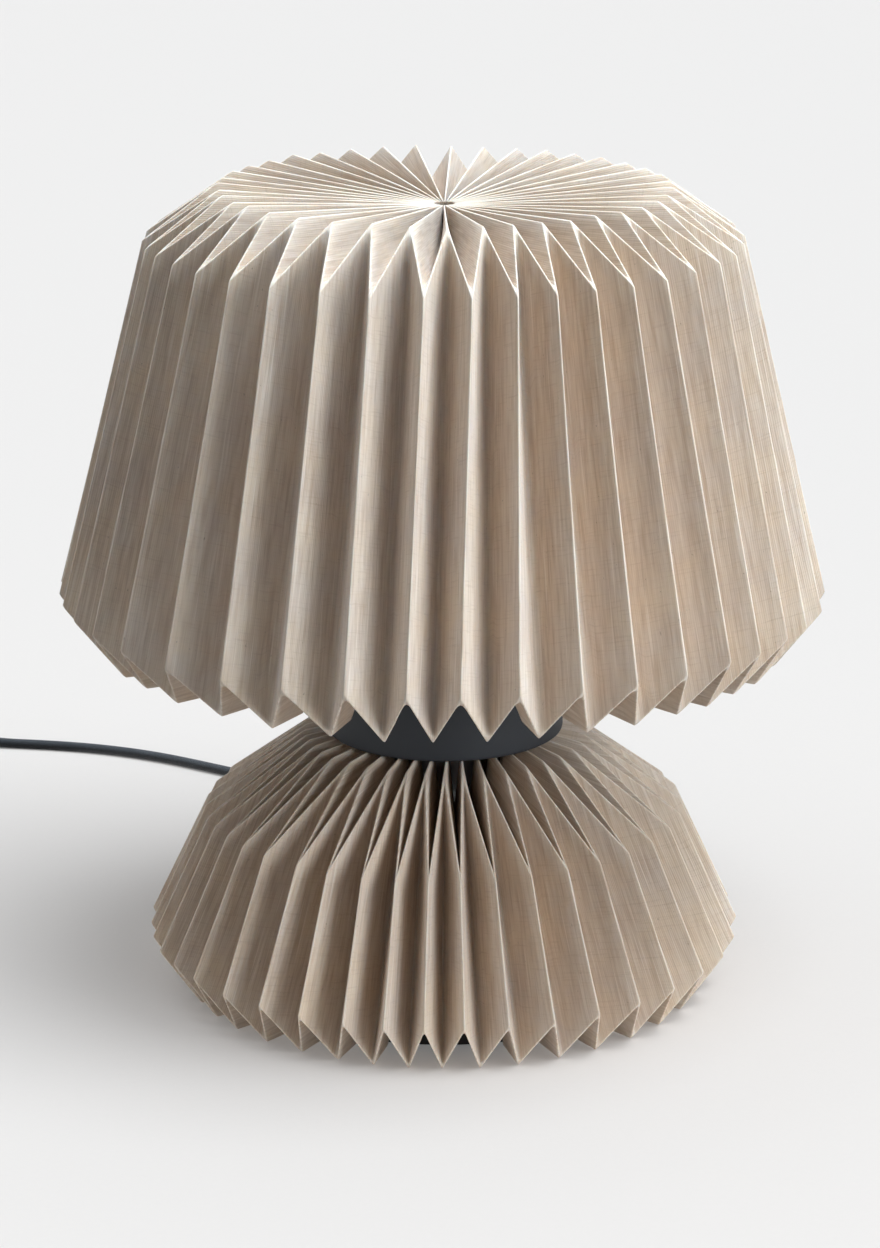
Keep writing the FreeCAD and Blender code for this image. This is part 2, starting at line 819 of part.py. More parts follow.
def make_carrier():
    """Welded from a washer, a hoop and arms, each a wire bent once."""
    hoop = primitive("Torus", "hoop", Radius1="hoop_radius", Radius2="wire_radius")
    lift(hoop, "hoop_level")
    disc = primitive("Cylinder", "washer_disc", Radius="washer_radius", Height="washer_thick")
    hole = primitive("Cylinder", "washer_hole", Radius="skirt_radius + press", Height="washer_thick")
    washer = doc.addObject("Part::Cut", "washer")
    washer.Base, washer.Tool = disc, hole
    lift(washer, "washer_level")

    radius, bend = value("wire_radius"), value("arm_bend")
    level = value("washer_level") + value("washer_thick") / 2
    weld = Vector(value("washer_radius") - radius / 2, 0, level)
    knee = Vector(value("arm_foot"), 0, level)
    rim = Vector(value("hoop_radius"), 0, value("hoop_level"))
    rise = math.degrees((rim - knee).getAngle(knee - weld))
    reach = bend * math.tan(math.radians(rise) / 2)
    bend_start = knee - Vector(reach, 0, 0)
    axis = bend_start + UP * bend
    wire = Part.Face(Part.Wire(Part.Circle(bend_start, Vector(1, 0, 0), radius).toShape()))
    elbow = wire.revolve(axis, Vector(0, -1, 0), rise)
    bend_stop = knee + (rim - knee).normalize() * reach
    foot = Part.makeCylinder(radius, (bend_start - weld).Length, weld, Vector(1, 0, 0))
    riser = Part.makeCylinder(radius, (rim - bend_stop).Length, bend_stop, rim - knee)
    arm = foot.multiFuse([elbow, riser]).removeSplitter()
    arms = []
    for k in range(int(value("arm_count"))):
        item = plain(f"arm_{k}", arm)
        turn = 45 + k * 360 / value("arm_count")
        item.Placement = FreeCAD.Placement(Vector(), FreeCAD.Rotation(UP, turn))
        arms.append(item)
    keep(fused("carrier_frame", [washer, hoop, *arms]), "shade_carrier")


# ---------------------------------------------------------------------------------------------
# Bulb
# ---------------------------------------------------------------------------------------------


def make_bulb():
    tip = [("0", "0"), ("tip_radius * 0.8", "0"), ("tip_radius", "tip_height"), ("0", "tip_height")]
    turned("bulb_contact", tip, "bulb_level")
    foot = "tip_height + insulator_height"
    insulator = [
        ("0", "tip_height"),
        ("tip_radius + insulator_lip", "tip_height"),
        ("thread_radius - shell_bevel", foot),
        ("0", foot),
    ]
    turned("bulb_insulator", insulator, "bulb_level")
    turned(
        "bulb_cap",
        [
            ("0", foot),
            ("thread_radius - shell_bevel", foot),
            ("thread_radius", f"{foot} + shell_bevel"),
            ("thread_radius", f"{foot} + thread_height"),
            ("thread_radius - shell_thin", f"{foot} + thread_height"),
            ("thread_radius - shell_thin", f"{foot} + shell_bevel + shell_thin"),
            ("0", f"{foot} + shell_bevel + shell_thin"),
        ],
        "bulb_level",
    )
    seam = "bulb_length - bulb_radius - bulb_seam"
    seam_radius = "sqrt(bulb_radius ^ 2 - bulb_seam ^ 2)"
    neck = f"{foot} + thread_height"
    turned(
        "bulb_housing",
        [
            ("neck_radius - bulb_wall", neck),
            ("neck_radius", neck),
            (seam_radius, seam),
            (f"{seam_radius} - bulb_wall", seam),
            ("neck_radius - bulb_wall", f"{neck} + 4 * bulb_wall"),
        ],
        "bulb_level",
    )
    edge = f"{seam_radius} - board_inset"
    board = [("0", "0"), (edge, "0"), (edge, "board_thick"), ("0", "board_thick")]
    turned("led_board", board, f"bulb_level + {seam} - board_inset")
    # the globe is a thin ball cut off at its seam
    ball = primitive("Sphere", "globe_ball", Radius="bulb_radius", Angle1="-asin(bulb_seam / bulb_radius)")
    hollow = primitive("Sphere", "globe_hollow", Radius="bulb_radius - bulb_wall")
    globe = doc.addObject("Part::Cut", "globe")
    globe.Base, globe.Tool = ball, hollow
    lift(globe, "globe_level")
    keep(globe, "bulb_globe")


# ---------------------------------------------------------------------------------------------
# Lead, grip, switch and plug
# ---------------------------------------------------------------------------------------------

GRIP_EXIT = 14.0  # straight run of the lead behind its grip
GRIP_DROP = 40.0  # from the grip to where the lead meets the floor
# where the free lead lies behind the lamp, up to its switch
LEAD_ROUTE = [
    (-1, 212),
    (-22, 244),
    (-99, 286),
    (-144, 316),
    (-180, 338),
    (-215, 352),
    (-250, 360),
    (-283, 364),
]
SWITCH_RUN = 12.0  # straight run of the lead before the switch
SWITCH_START = (-318, 368.2)  # the switch's near end
SWITCH_HEADING = 174  # degrees from +X, the way the lead runs through it
SWITCH_SCREWS = (0.18, 0.82)  # their places, as shares of the switch's length
COIL_RADIUS = 44.0  # outermost turn, at the lead's middle
COIL_STEP = 6.6  # from turn to turn and from layer to layer
COIL_TURNS = 5.5
COIL_RUN_UP = 42.0  # from the switch to where the winding starts
PLUG_AFTER = 46.0  # from the winding's end to the plug's relief


def heading(degrees):
    return Vector(math.cos(math.radians(degrees)), math.sin(math.radians(degrees)), 0)


def switch_place(along=0.0):
    """A point on the lead's line through the switch."""
    start = Vector(*SWITCH_START, value("switch_level"))
    return start + heading(SWITCH_HEADING) * along


def make_grip():
    corners = [("0", "0"), ("grip_radius", "0"), ("grip_radius", "grip_body")]
    # ring grooves let the relief bend
    pitch = 0.8 / value("grip_grooves")
    for k in range(int(value("grip_grooves"))):
        begin, end = 0.1 + k * pitch, 0.1 + (k + 0.3) * pitch
        for share, depth in ((begin, 0), (begin, 1), (end, 1), (end, 0)):
            place = f"grip_body + grip_taper * {share:.3f}"
            wall = f"grip_radius - (grip_radius - grip_end) * {share:.3f} - groove_deep * {depth}"
            corners.append((wall, place))
    tail = "grip_body + grip_taper"
    corners += [("grip_end", tail), ("0", tail)]
    grip = turned("cord_grip", corners, "cord_level")
    turn = FreeCAD.Rotation(UP, bearing_point(1, 0))
    grip.Placement = FreeCAD.Placement(bearing_point(value("grip_start"), value("cord_level")), turn)


def make_inner_lead():
    """From the grip through the stem's cable slot up to the lampholder."""
    slot = value("flange_level") + value("flange_thick") + value("cable_slot_low")
    middle = slot + value("cable_slot_long") / 2
    route = [
        bearing_point(value("grip_start"), value("cord_level")),
        bearing_point(value("flange_radius") + 2 * value("slot_clear"), value("cord_level")),
        bearing_point(value("stem_radius"), middle),
        bearing_point(0, middle + value("cable_slot_long")),
        bearing_point(0, value("cap_level") + value("cap_wall") + value("press")),
    ]
    path = rounded_path("inner lead", route)
    keep(plain("inner_tube", tube(path, value("cord_radius"))), "inner_lead")


def make_free_lead():
    start, floor = value("grip_stop"), value("cord_radius")
    route = [
        bearing_point(start, value("cord_level")),
        bearing_point(start + GRIP_EXIT, value("cord_level")),
        bearing_point(start + GRIP_DROP, floor),
    ]
    route += [Vector(x, y, floor) for x, y in LEAD_ROUTE]
    route += [switch_place(-SWITCH_RUN), switch_place()]
    path = rounded_path("free lead", route)
    keep(plain("lead_tube", tube(path, value("cord_radius"))), "cord_lead")
    return path.Length


def coil_point(turns, centre):
    """The lead's middle after so many turns: spiralling in on the floor, up in the half turn
    where the spiral reverses, and out again on top."""
    half = COIL_TURNS / 2
    radius = COIL_RADIUS - COIL_STEP * (half - abs(turns - half))
    climb = min(max((turns - half) * 2 + 0.5, 0), 1)
    level = value("cord_radius") + COIL_STEP * (1 - math.cos(math.pi * climb)) / 2
    way = heading(SWITCH_HEADING - 90 + 360 * turns)
    return centre + way * radius + UP * level


def make_coil():
    """The put-away lead: an unbroken tube of flat turns in two layers, and its ends."""
    outlet = switch_place(value("switch_long"))
    way = heading(SWITCH_HEADING)
    left = heading(SWITCH_HEADING + 90)
    centre = outlet + way * COIL_RUN_UP + left * COIL_RADIUS
    centre.z = 0
    quarters = int(COIL_TURNS * 4)
    marks = [coil_point(k / 4, centre) for k in range(quarters + 1)]
    ways = []
    for k in range(quarters + 1):
        ahead, behind = coil_point(k / 4 + 0.01, centre), coil_point(k / 4 - 0.01, centre)
        ways.append((ahead - behind).normalize())
    ways[0], ways[-1] = way, -way
    straight = 2 * value("cord_radius")
    first = outlet + way * straight
    relief = marks[-1] - way * PLUG_AFTER
    relief.z = value("plug_thick") / 2
    last = relief + way * straight
    edges = [Part.LineSegment(outlet, first).toShape(), *biarc(first, way, marks[0], way)]
    for k in range(quarters):
        edges += biarc(marks[k], ways[k], marks[k + 1], ways[k + 1])
    edges += biarc(marks[-1], -way, last, -way)
    edges.append(Part.LineSegment(last, relief).toShape())
    path = Part.Wire(edges)
    print_least_gap(path)
    keep(plain("coil_tube", tube(path, value("cord_radius"))), "cord_coil")
    return path.Length, relief


def print_least_gap(path):
    """Measures the coil's least gap to itself, between points over half an inner turn apart."""
    step = 2.0
    points = path.discretize(int(path.Length / step))
    inner_turn = 2 * math.pi * (COIL_RADIUS - COIL_STEP * COIL_TURNS / 2)
    apart = int(0.6 * inner_turn / step)
    least = min(
        points[i].distanceToPoint(points[j])
        for i in range(len(points))
        for j in range(i + apart, len(points))
    )
    print("coil: least gap to itself", round(least - 2 * value("cord_radius"), 2), "mm")


def make_switch():
    """Two housing halves with a rocker between them, round the lead's line."""
    turn = FreeCAD.Rotation(UP, SWITCH_HEADING)
    place = FreeCAD.Placement(Vector(*SWITCH_START, 0), turn)
    ends = [("0", "-switch_wide / 2"), ("switch_long", "-switch_wide / 2")]
    ends += [("switch_long", "switch_wide / 2"), ("0", "switch_wide / 2")]

    def upright(edge):
        box = edge.BoundBox
        return box.ZLength > 1 and box.XLength < 0.01 and box.YLength < 0.01

    low = new_body("switch_base")
    block = pad(low, outline(low, "XY_Plane", ends), "switch_level")
    round_edges(low, block, upright, "switch_wide / 2 - switch_end_flat")
    for along in SWITCH_SCREWS:
        hole = disc_sketch(low, "XY_Plane", "switch_screw + press", x=f"switch_long * {along}")
        pocket(low, hole, "switch_level", reverse=True)
    low.Placement = place

    high = new_body("switch_cover")
    block = pad(high, outline(high, "XY_Plane", ends), "switch_high - switch_level")
    corners = round_edges(high, block, upright, "switch_wide / 2 - switch_end_flat")
    doc.recompute()
    top = worth("switch_high - switch_level")
    round_edges(high, corners, lambda edge: edge.BoundBox.ZMin > top - 0.01, "switch_round")
    for along in SWITCH_SCREWS:
        hole = disc_sketch(high, "XY_Plane", "switch_screw + press", x=f"switch_long * {along}")
        pocket(high, hole, "switch_screw_bite", reverse=True)
    half_long, half_wide = "rocker_long / 2 + running", "rocker_wide / 2 + running"
    window = [
        (f"switch_long / 2 - ({half_long})", f"-({half_wide})"),
        (f"switch_long / 2 + {half_long}", f"-({half_wide})"),
        (f"switch_long / 2 + {half_long}", half_wide),
        (f"switch_long / 2 - ({half_long})", half_wide),
    ]
    pocket(high, outline(high, "XY_Plane", window), "switch_high", reverse=True)
    high.Placement = FreeCAD.Placement(place.Base + UP * value("switch_level"), turn)

    keep(make_rocker(place), "switch_rocker")

    screws = []
    for k, along in enumerate(SWITCH_SCREWS):
        screw = primitive("Cylinder", f"switch_screw_{k}", Radius="switch_screw")
        bind(screw, Height="switch_level + switch_screw_bite - 1")
        spot = place.multVec(Vector(value("switch_long") * along, 0, 0.5))
        screw.Placement = FreeCAD.Placement(spot, turn)
        screws.append(screw)
    keep(group("switch_screw_set", screws), "switch_screws")


def make_rocker(place):
    """A shallow V on top and arcs about the pivot at its ends, tipped to one side."""
    radius, tilt = value("rocker_long") / 2, math.radians(value("rocker_tilt"))
    off = value("rocker_crest") * math.cos(tilt)
    reach = math.sqrt(radius**2 - off**2)
    tip_x = reach * math.cos(tilt) - off * math.sin(tilt)
    tip_z = reach * math.sin(tilt) + off * math.cos(tilt)
    floor = value("rocker_floor")
    floor_x = math.sqrt(radius**2 - floor**2)
    left, right = Vector(-tip_x, 0, tip_z), Vector(tip_x, 0, tip_z)
    low_left, low_right = Vector(-floor_x, 0, -floor), Vector(floor_x, 0, -floor)
    crest = Vector(0, 0, value("rocker_crest"))
    edges = [
        Part.LineSegment(left, crest).toShape(),
        Part.LineSegment(crest, right).toShape(),
        Part.Arc(right, Vector(radius, 0, 0), low_right).toShape(),
        Part.LineSegment(low_right, low_left).toShape(),
        Part.Arc(low_left, Vector(-radius, 0, 0), left).toShape(),
    ]
    across = Vector(0, value("rocker_wide"), 0)
    face = Part.Face(Part.Wire(edges))
    face.translate(across * -0.5)
    rocker = plain("rocker", face.extrude(across))
    pivot = Vector(value("switch_long") / 2, 0, value("switch_high") - value("rocker_sink"))
    tipped = FreeCAD.Rotation(Vector(0, 1, 0), value("rocker_tilt"))
    rocker.Placement = place.multiply(FreeCAD.Placement(pivot, tipped))
    return rocker


def make_plug(relief):
    """A flat two-pin plug: tapered relief, moulded grip and a straight block for the pins."""
    way = -heading(SWITCH_HEADING)
    turn = FreeCAD.Rotation(UP, SWITCH_HEADING + 180)
    half_thick, half_wide = value("plug_thick") / 2, value("plug_wide") / 2
    tail, neck = value("plug_tail"), value("plug_neck")
    shoulder = value("plug_relief") + value("plug_flare")
    sections = [
        rounded_section(0, tail, tail),
        rounded_section(value("plug_relief"), neck, neck),
        rounded_section(shoulder, half_wide - value("plug_draft"), half_thick),
        rounded_section(value("plug_relief") + value("plug_long"), half_wide, half_thick),
    ]
    body = Part.makeLoft(sections, True, True)
    plug = plain("plug_moulding", body)
    plug.Placement = FreeCAD.Placement(relief, turn)
    keep(plug, "plug_body")
    pins = []
    for k, side in enumerate((-0.5, 0.5)):
        pin = primitive("Cylinder", f"pin_{k}", Radius="pin_radius", Height="pin_long")
        tip = plain_fillet(pin)
        across = Vector(-way.y, way.x, 0) * (side * value("pin_spacing"))
        nose = relief + way * (value("plug_relief") + value("plug_long")) + across
        tip.Placement = FreeCAD.Placement(nose, FreeCAD.Rotation(UP, way))
        pins.append(tip)
    keep(group("plug_pin_set", pins), "plug_pins")


def plain_fillet(pin):
    """Rounds the free end of a pin."""
    doc.recompute()
    item = doc.addObject("Part::Fillet", f"{pin.Name}_tip")
    item.Base = pin
    far = [
        i + 1
        for i, edge in enumerate(pin.Shape.Edges)
        if isinstance(edge.Curve, Part.Circle) and edge.Curve.Center.z > 1
    ]
    item.Edges = [(i, value("pin_round"), value("pin_round")) for i in far]
    return item


def rounded_section(along, half_wide, half_thick):
    """A slot-shaped outline across the X axis, of two half circles and two lines."""
    flat = max(half_wide - half_thick, 0.01)
    corners = [Vector(along, y, z) for y, z in ((-flat, -1), (flat, -1), (flat, 1), (-flat, 1))]
    for corner in corners:
        corner.z *= half_thick
    right, left = Vector(along, flat + half_thick, 0), Vector(along, -flat - half_thick, 0)
    return Part.Wire(
        [
            Part.LineSegment(corners[0], corners[1]).toShape(),
            Part.Arc(corners[1], right, corners[2]).toShape(),
            Part.LineSegment(corners[2], corners[3]).toShape(),
            Part.Arc(corners[3], left, corners[0]).toShape(),
        ]
    )


# ---------------------------------------------------------------------------------------------
# Build, check and write
# ---------------------------------------------------------------------------------------------

make_pleats()
make_foot()
make_holder()
make_carrier()
make_bulb()
make_grip()
make_inner_lead()
lead_length = make_free_lead()
coil_length, plug_relief_point = make_coil()
make_switch()
make_plug(plug_relief_point)
doc.recompute()

print("free lead", round(lead_length), "mm, from the switch to the plug", round(coil_length), "mm")
for item in doc.Objects:
    assert not {"Invalid", "Error"} & set(item.State), f"{item.Name} is {item.State}"
for label, item in pieces.items():
    assert not item.Shape.isNull() and item.Shape.isValid(), f"{label} has no valid shape"
os.makedirs("parts", exist_ok=True)
for label, item in pieces.items():
    item.Shape.exportStep(f"parts/{label}.step")
print(len(pieces), "sub-parts written")
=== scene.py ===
import math

import bmesh
import bpy
import numpy as np
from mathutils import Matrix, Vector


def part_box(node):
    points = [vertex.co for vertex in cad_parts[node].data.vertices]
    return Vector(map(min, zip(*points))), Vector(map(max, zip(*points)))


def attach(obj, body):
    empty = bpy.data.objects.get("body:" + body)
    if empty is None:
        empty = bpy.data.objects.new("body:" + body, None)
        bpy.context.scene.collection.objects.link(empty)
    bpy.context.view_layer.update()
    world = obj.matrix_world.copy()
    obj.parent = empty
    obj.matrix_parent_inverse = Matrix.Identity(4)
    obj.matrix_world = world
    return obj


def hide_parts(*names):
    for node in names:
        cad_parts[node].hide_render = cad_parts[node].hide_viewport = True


# Pleated table lamp. Every size below is in millimetres and every bearing in degrees from the
# front, which faces -Y, towards +X. Meshes are scaled to metres when they are made.

mm = 0.001
up = np.array([0.0, 0.0, 1.0])

print("loading the packed model")
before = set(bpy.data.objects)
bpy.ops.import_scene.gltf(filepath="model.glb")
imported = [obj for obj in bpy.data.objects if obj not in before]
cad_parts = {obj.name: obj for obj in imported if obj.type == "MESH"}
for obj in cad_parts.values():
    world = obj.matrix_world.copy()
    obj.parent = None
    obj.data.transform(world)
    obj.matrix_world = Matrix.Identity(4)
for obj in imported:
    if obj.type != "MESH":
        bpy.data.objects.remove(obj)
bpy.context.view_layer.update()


# Meshes

def nodeBox(node):
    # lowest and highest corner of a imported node, in millimetres
    low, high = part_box(node)
    return np.array(low) / mm, np.array(high) / mm


def surfaceMap(points):
    # u runs along the rows and v along the columns of a grid, as lengths on the surface
    across = np.linalg.norm(np.diff(points, axis=1), axis=2).max(axis=0)
    along = np.linalg.norm(np.diff(points, axis=0), axis=2).max(axis=1)
    u = np.concatenate([[0], np.cumsum(across)])
    v = np.concatenate([[0], np.cumsum(along)])
    return np.stack(np.broadcast_arrays(u[None, :], v[:, None]), axis=-1)


def makePiece(name, grids, material, body="root", replaces=(), closed=True, smooth=40):
    # one mesh from grids of points; each grid is (points, uv or None, {mark: values})
    corners, quads, places, marks, start = [], [], [], {}, 0
    for points, uv, extra in grids:
        rows, cols = points.shape[:2]
        index = np.arange(rows * cols).reshape(rows, cols) + start
        around = [index[:-1, :-1], index[:-1, 1:], index[1:, 1:], index[1:, :-1]]
        quads.append(np.stack(around, axis=-1).reshape(-1, 4))
        corners.append(points.reshape(-1, 3))
        places.append((surfaceMap(points) if uv is None else uv).reshape(-1, 2))
        for label, values in extra.items():
            marks.setdefault(label, []).append(np.broadcast_to(values, (rows, cols)).reshape(-1))
        start += rows * cols
    corners, quads, places = (np.concatenate(part) for part in (corners, quads, places))
    mesh = bpy.data.meshes.new(name)
    mesh.from_pydata((corners * mm).tolist(), [], quads.tolist())
    layer = mesh.uv_layers.new(name="surface")
    layer.data.foreach_set("uv", (places[quads.reshape(-1)] * mm).reshape(-1))
    for label, values in marks.items():
        mark = mesh.attributes.new(label, "FLOAT", "POINT")
        mark.data.foreach_set("value", np.concatenate(values).astype(np.float32))
    work = bmesh.new()
    work.from_mesh(mesh)
    bmesh.ops.remove_doubles(work, verts=work.verts, dist=2e-6)
    bmesh.ops.dissolve_degenerate(work, edges=work.edges, dist=1e-7)
    if closed:
        bmesh.ops.recalc_face_normals(work, faces=work.faces)
    work.to_mesh(mesh)
    work.free()
    mesh.set_sharp_from_angle(angle=math.radians(smooth))
    piece = bpy.data.objects.new(name, mesh)
    bpy.context.scene.collection.objects.link(piece)
    mesh.materials.append(material)
    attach(piece, body)
    if replaces:
        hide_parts(*replaces)
    return piece


def rounded(points, cut, steps=5, fill=1):
    # straight runs with each inner corner turned into a short curve that starts cut before it:
    # (1-t)^2 A + 2t(1-t) corner + t^2 B. Leading axes hold any number of such lines.
    points = np.asarray(points, float)
    t = np.linspace(0, 1, steps)[:, None]
    ends, starts = [points[..., :1, :]], []
    for k in range(1, points.shape[-2] - 1):
        here = points[..., k : k + 1, :]
        back, ahead = points[..., k - 1 : k, :] - here, points[..., k + 1 : k + 2, :] - here
        far = [np.linalg.norm(way, axis=-1, keepdims=True) for way in (back, ahead)]
        reach = np.minimum(cut, 0.45 * np.minimum(*far))
        a, b = here + back / far[0] * reach, here + ahead / far[1] * reach
        ends.append((1 - t) ** 2 * a + 2 * t * (1 - t) * here + t**2 * b)
    ends.append(points[..., -1:, :])
    line = [ends[0]]
    share = np.linspace(0, 1, fill + 1)[1:-1, None]
    for before, after in zip(ends, ends[1:]):
        if fill > 1:
            line.append(before[..., -1:, :] * (1 - share) + after[..., :1, :] * share)
        line.append(after)
    return np.concatenate(line, axis=-2)


def turnedGrid(profile, segments=96, origin=(0, 0, 0), axis=(0, 0, 1), ripple=None):
    # a profile of (radius, height) turned about an axis; ripple adds to the radius by (height, turn)
    profile = np.asarray(profile, float)
    turn = np.linspace(0, 2 * np.pi, segments + 1)
    radius = np.repeat(profile[:, :1], segments + 1, axis=1)
    if ripple is not None:
        radius = radius + ripple(profile[:, 1:], turn[None, :])
    axis = np.asarray(axis, float) / np.linalg.norm(axis)
    side = np.cross(axis, (1.0, 0, 0) if abs(axis[0]) < 0.9 else (0, 1.0, 0))
    side /= np.linalg.norm(side)
    other = np.cross(axis, side)
    ring = np.cos(turn)[None, :, None] * side + np.sin(turn)[None, :, None] * other
    points = np.asarray(origin, float) + radius[..., None] * ring + profile[:, None, 1:] * axis
    return points, None, {}


def tubeGrid(line, radius, sides=20, across=None):
    # a round section carried along a line, closed at both ends
    line = np.asarray(line, float)
    way = np.gradient(line, axis=0)
    way /= np.linalg.norm(way, axis=1, keepdims=True)
    side = np.cross(way, up if across is None else across)
    side /= np.linalg.norm(side, axis=1, keepdims=True)
    rise = np.cross(side, way)
    turn = np.linspace(0, 2 * np.pi, sides + 1)
    ring = side[:, None] * np.cos(turn)[None, :, None] + rise[:, None] * np.sin(turn)[None, :, None]
    radius = np.broadcast_to(radius, len(line))
    rows = line[:, None] + ring * radius[:, None, None]
    ends = [np.repeat(line[k][None, None], sides + 1, axis=1) for k in (0, -1)]
    points = np.concatenate([ends[0], rows, ends[1]])
    length = np.concatenate([[0], np.cumsum(np.linalg.norm(np.diff(line, axis=0), axis=1))])
    length = np.concatenate([[0], length, length[-1:]])
    girth = turn * float(radius.max())
    uv = np.stack(np.broadcast_arrays(girth[None, :], length[:, None]), axis=-1)
    return points, uv, {}


def outlineRing(halfLong, halfWide, corner, perCorner=7):
    # a rectangle with round corners, as one closed ring of points that starts on the +x side
    turn = np.linspace(0, np.pi / 2, perCorner)
    ring = []
    for quarter in range(4):
        angle = turn + quarter * np.pi / 2
        sign = np.array([(1, 1), (-1, 1), (-1, -1), (1, -1)][quarter])
        centre = sign * (halfLong - corner, halfWide - corner)
        ring.append(centre + corner * np.stack([np.cos(angle), np.sin(angle)], axis=1))
    ring = np.concatenate(ring)
    return np.concatenate([ring, ring[:1]])


def placed(points, origin, degrees):
    # turns a grid about the upright axis and moves it
    angle = math.radians(degrees)
    c, s = math.cos(angle), math.sin(angle)
    spin = np.array([[c, s, 0], [-s, c, 0], [0, 0, 1]])
    return points @ spin + np.asarray(origin, float)


# Materials

def srgb(code):
    # a hex colour as linear light
    part = np.array([int(code[k : k + 2], 16) for k in (1, 3, 5)]) / 255
    linear = np.where(part <= 0.04045, part / 12.92, ((part + 0.055) / 1.055) ** 2.4)
    return (*linear.tolist(), 1.0)


def addNode(tree, kind, inputs=None, **settings):
    # a node with its settings, and its inputs set to values or linked to sockets
    node = tree.nodes.new(kind)
    for name, setting in settings.items():
        setattr(node, name, setting)
    for key, given in (inputs or {}).items():
        if isinstance(given, bpy.types.NodeSocket):
            tree.links.new(given, node.inputs[key])
        else:
            node.inputs[key].default_value = given
    return node


def newMaterial(name):
    # an empty material with its output, ready for nodes
    material = bpy.data.materials.new(name)
    material.use_nodes = True
    material.node_tree.nodes.clear()
    return material, material.node_tree


def finishMaterial(material, tree, colour, height, bump, **shader):
    # the shader, its bump in millimetres and the output
    inputs = {"Base Color": colour}
    inputs.update({key.replace("_", " "): given for key, given in shader.items()})
    if height is not None:
        shape = {"Height": height, "Distance": bump * mm, "Strength": 1.0}
        inputs["Normal"] = addNode(tree, "ShaderNodeBump", shape).outputs["Normal"]
    surface = addNode(tree, "ShaderNodeBsdfPrincipled", inputs)
    addNode(tree, "ShaderNodeOutputMaterial", {"Surface": surface.outputs["BSDF"]})
    return material


def objectPlace(tree):
    return addNode(tree, "ShaderNodeTexCoord").outputs["Object"]


def surfacePlace(tree):
    return addNode(tree, "ShaderNodeUVMap", uv_map="surface").outputs["UV"]


def grain(tree, place, size, detail=2.0, roughness=0.5, seed=0.0):
    # noise whose spots are about size across, given in millimetres along each axis
    scale = [1 / (mm * length) for length in (size if hasattr(size, "__len__") else (size,) * 3)]
    shifted = {"Vector": place, "Scale": scale, "Location": (seed, seed * 0.7, seed * 0.3)}
    at = addNode(tree, "ShaderNodeMapping", shifted).outputs["Vector"]
    settings = {"Vector": at, "Scale": 1.0, "Detail": detail, "Roughness": roughness}
    return addNode(tree, "ShaderNodeTexNoise", settings).outputs["Fac"]


def stretched(tree, factor, low, high, fromLow=0.0, fromHigh=1.0):
    # a factor spread from one range to another
    ends = {"Value": factor, "From Min": fromLow, "From Max": fromHigh, "To Min": low, "To Max": high}
    return addNode(tree, "ShaderNodeMapRange", ends).outputs["Result"]


def mixed(tree, factor, first, second, blend="MIX"):
    # two colours mixed by a factor
    inputs = {"Factor": factor, "A": first, "B": second}
    node = addNode(tree, "ShaderNodeMix", data_type="RGBA", blend_type=blend)
    for key, given in zip((0, 6, 7), inputs.values()):
        if isinstance(given, bpy.types.NodeSocket):
            tree.links.new(given, node.inputs[key])
        else:
            node.inputs[key].default_value = given
    return node.outputs[2]


def calculated(tree, operation, first, second=0.0):
    return addNode(tree, "ShaderNodeMath", {0: first, 1: second}, operation=operation).outputs[0]


clothLook = {
    "warm": "#d8c3ad",
    "grey": "#cfbeaf",
    "thread": "#e7d8ca",
    "gap": "#ab917b",
    # fold is the paler colour painted on ridges and creases, a painted highlight with a little wear, and foldShow
    # says how strongly
    "fold": "#e6dacb",
    "foldShow": 0.5,
    "fleck": "#6f5f4f",
    "threadPitch": 1.05,
    "threadWander": 0.55,  # how far a thread strays, in threads
    "weftWidth": 0.9,
    "weftLength": 16.0,
    "slubWidth": 1.0,
    "slubLength": 45.0,
    "patch": 40.0,
    "fleckSize": 1.2,
}


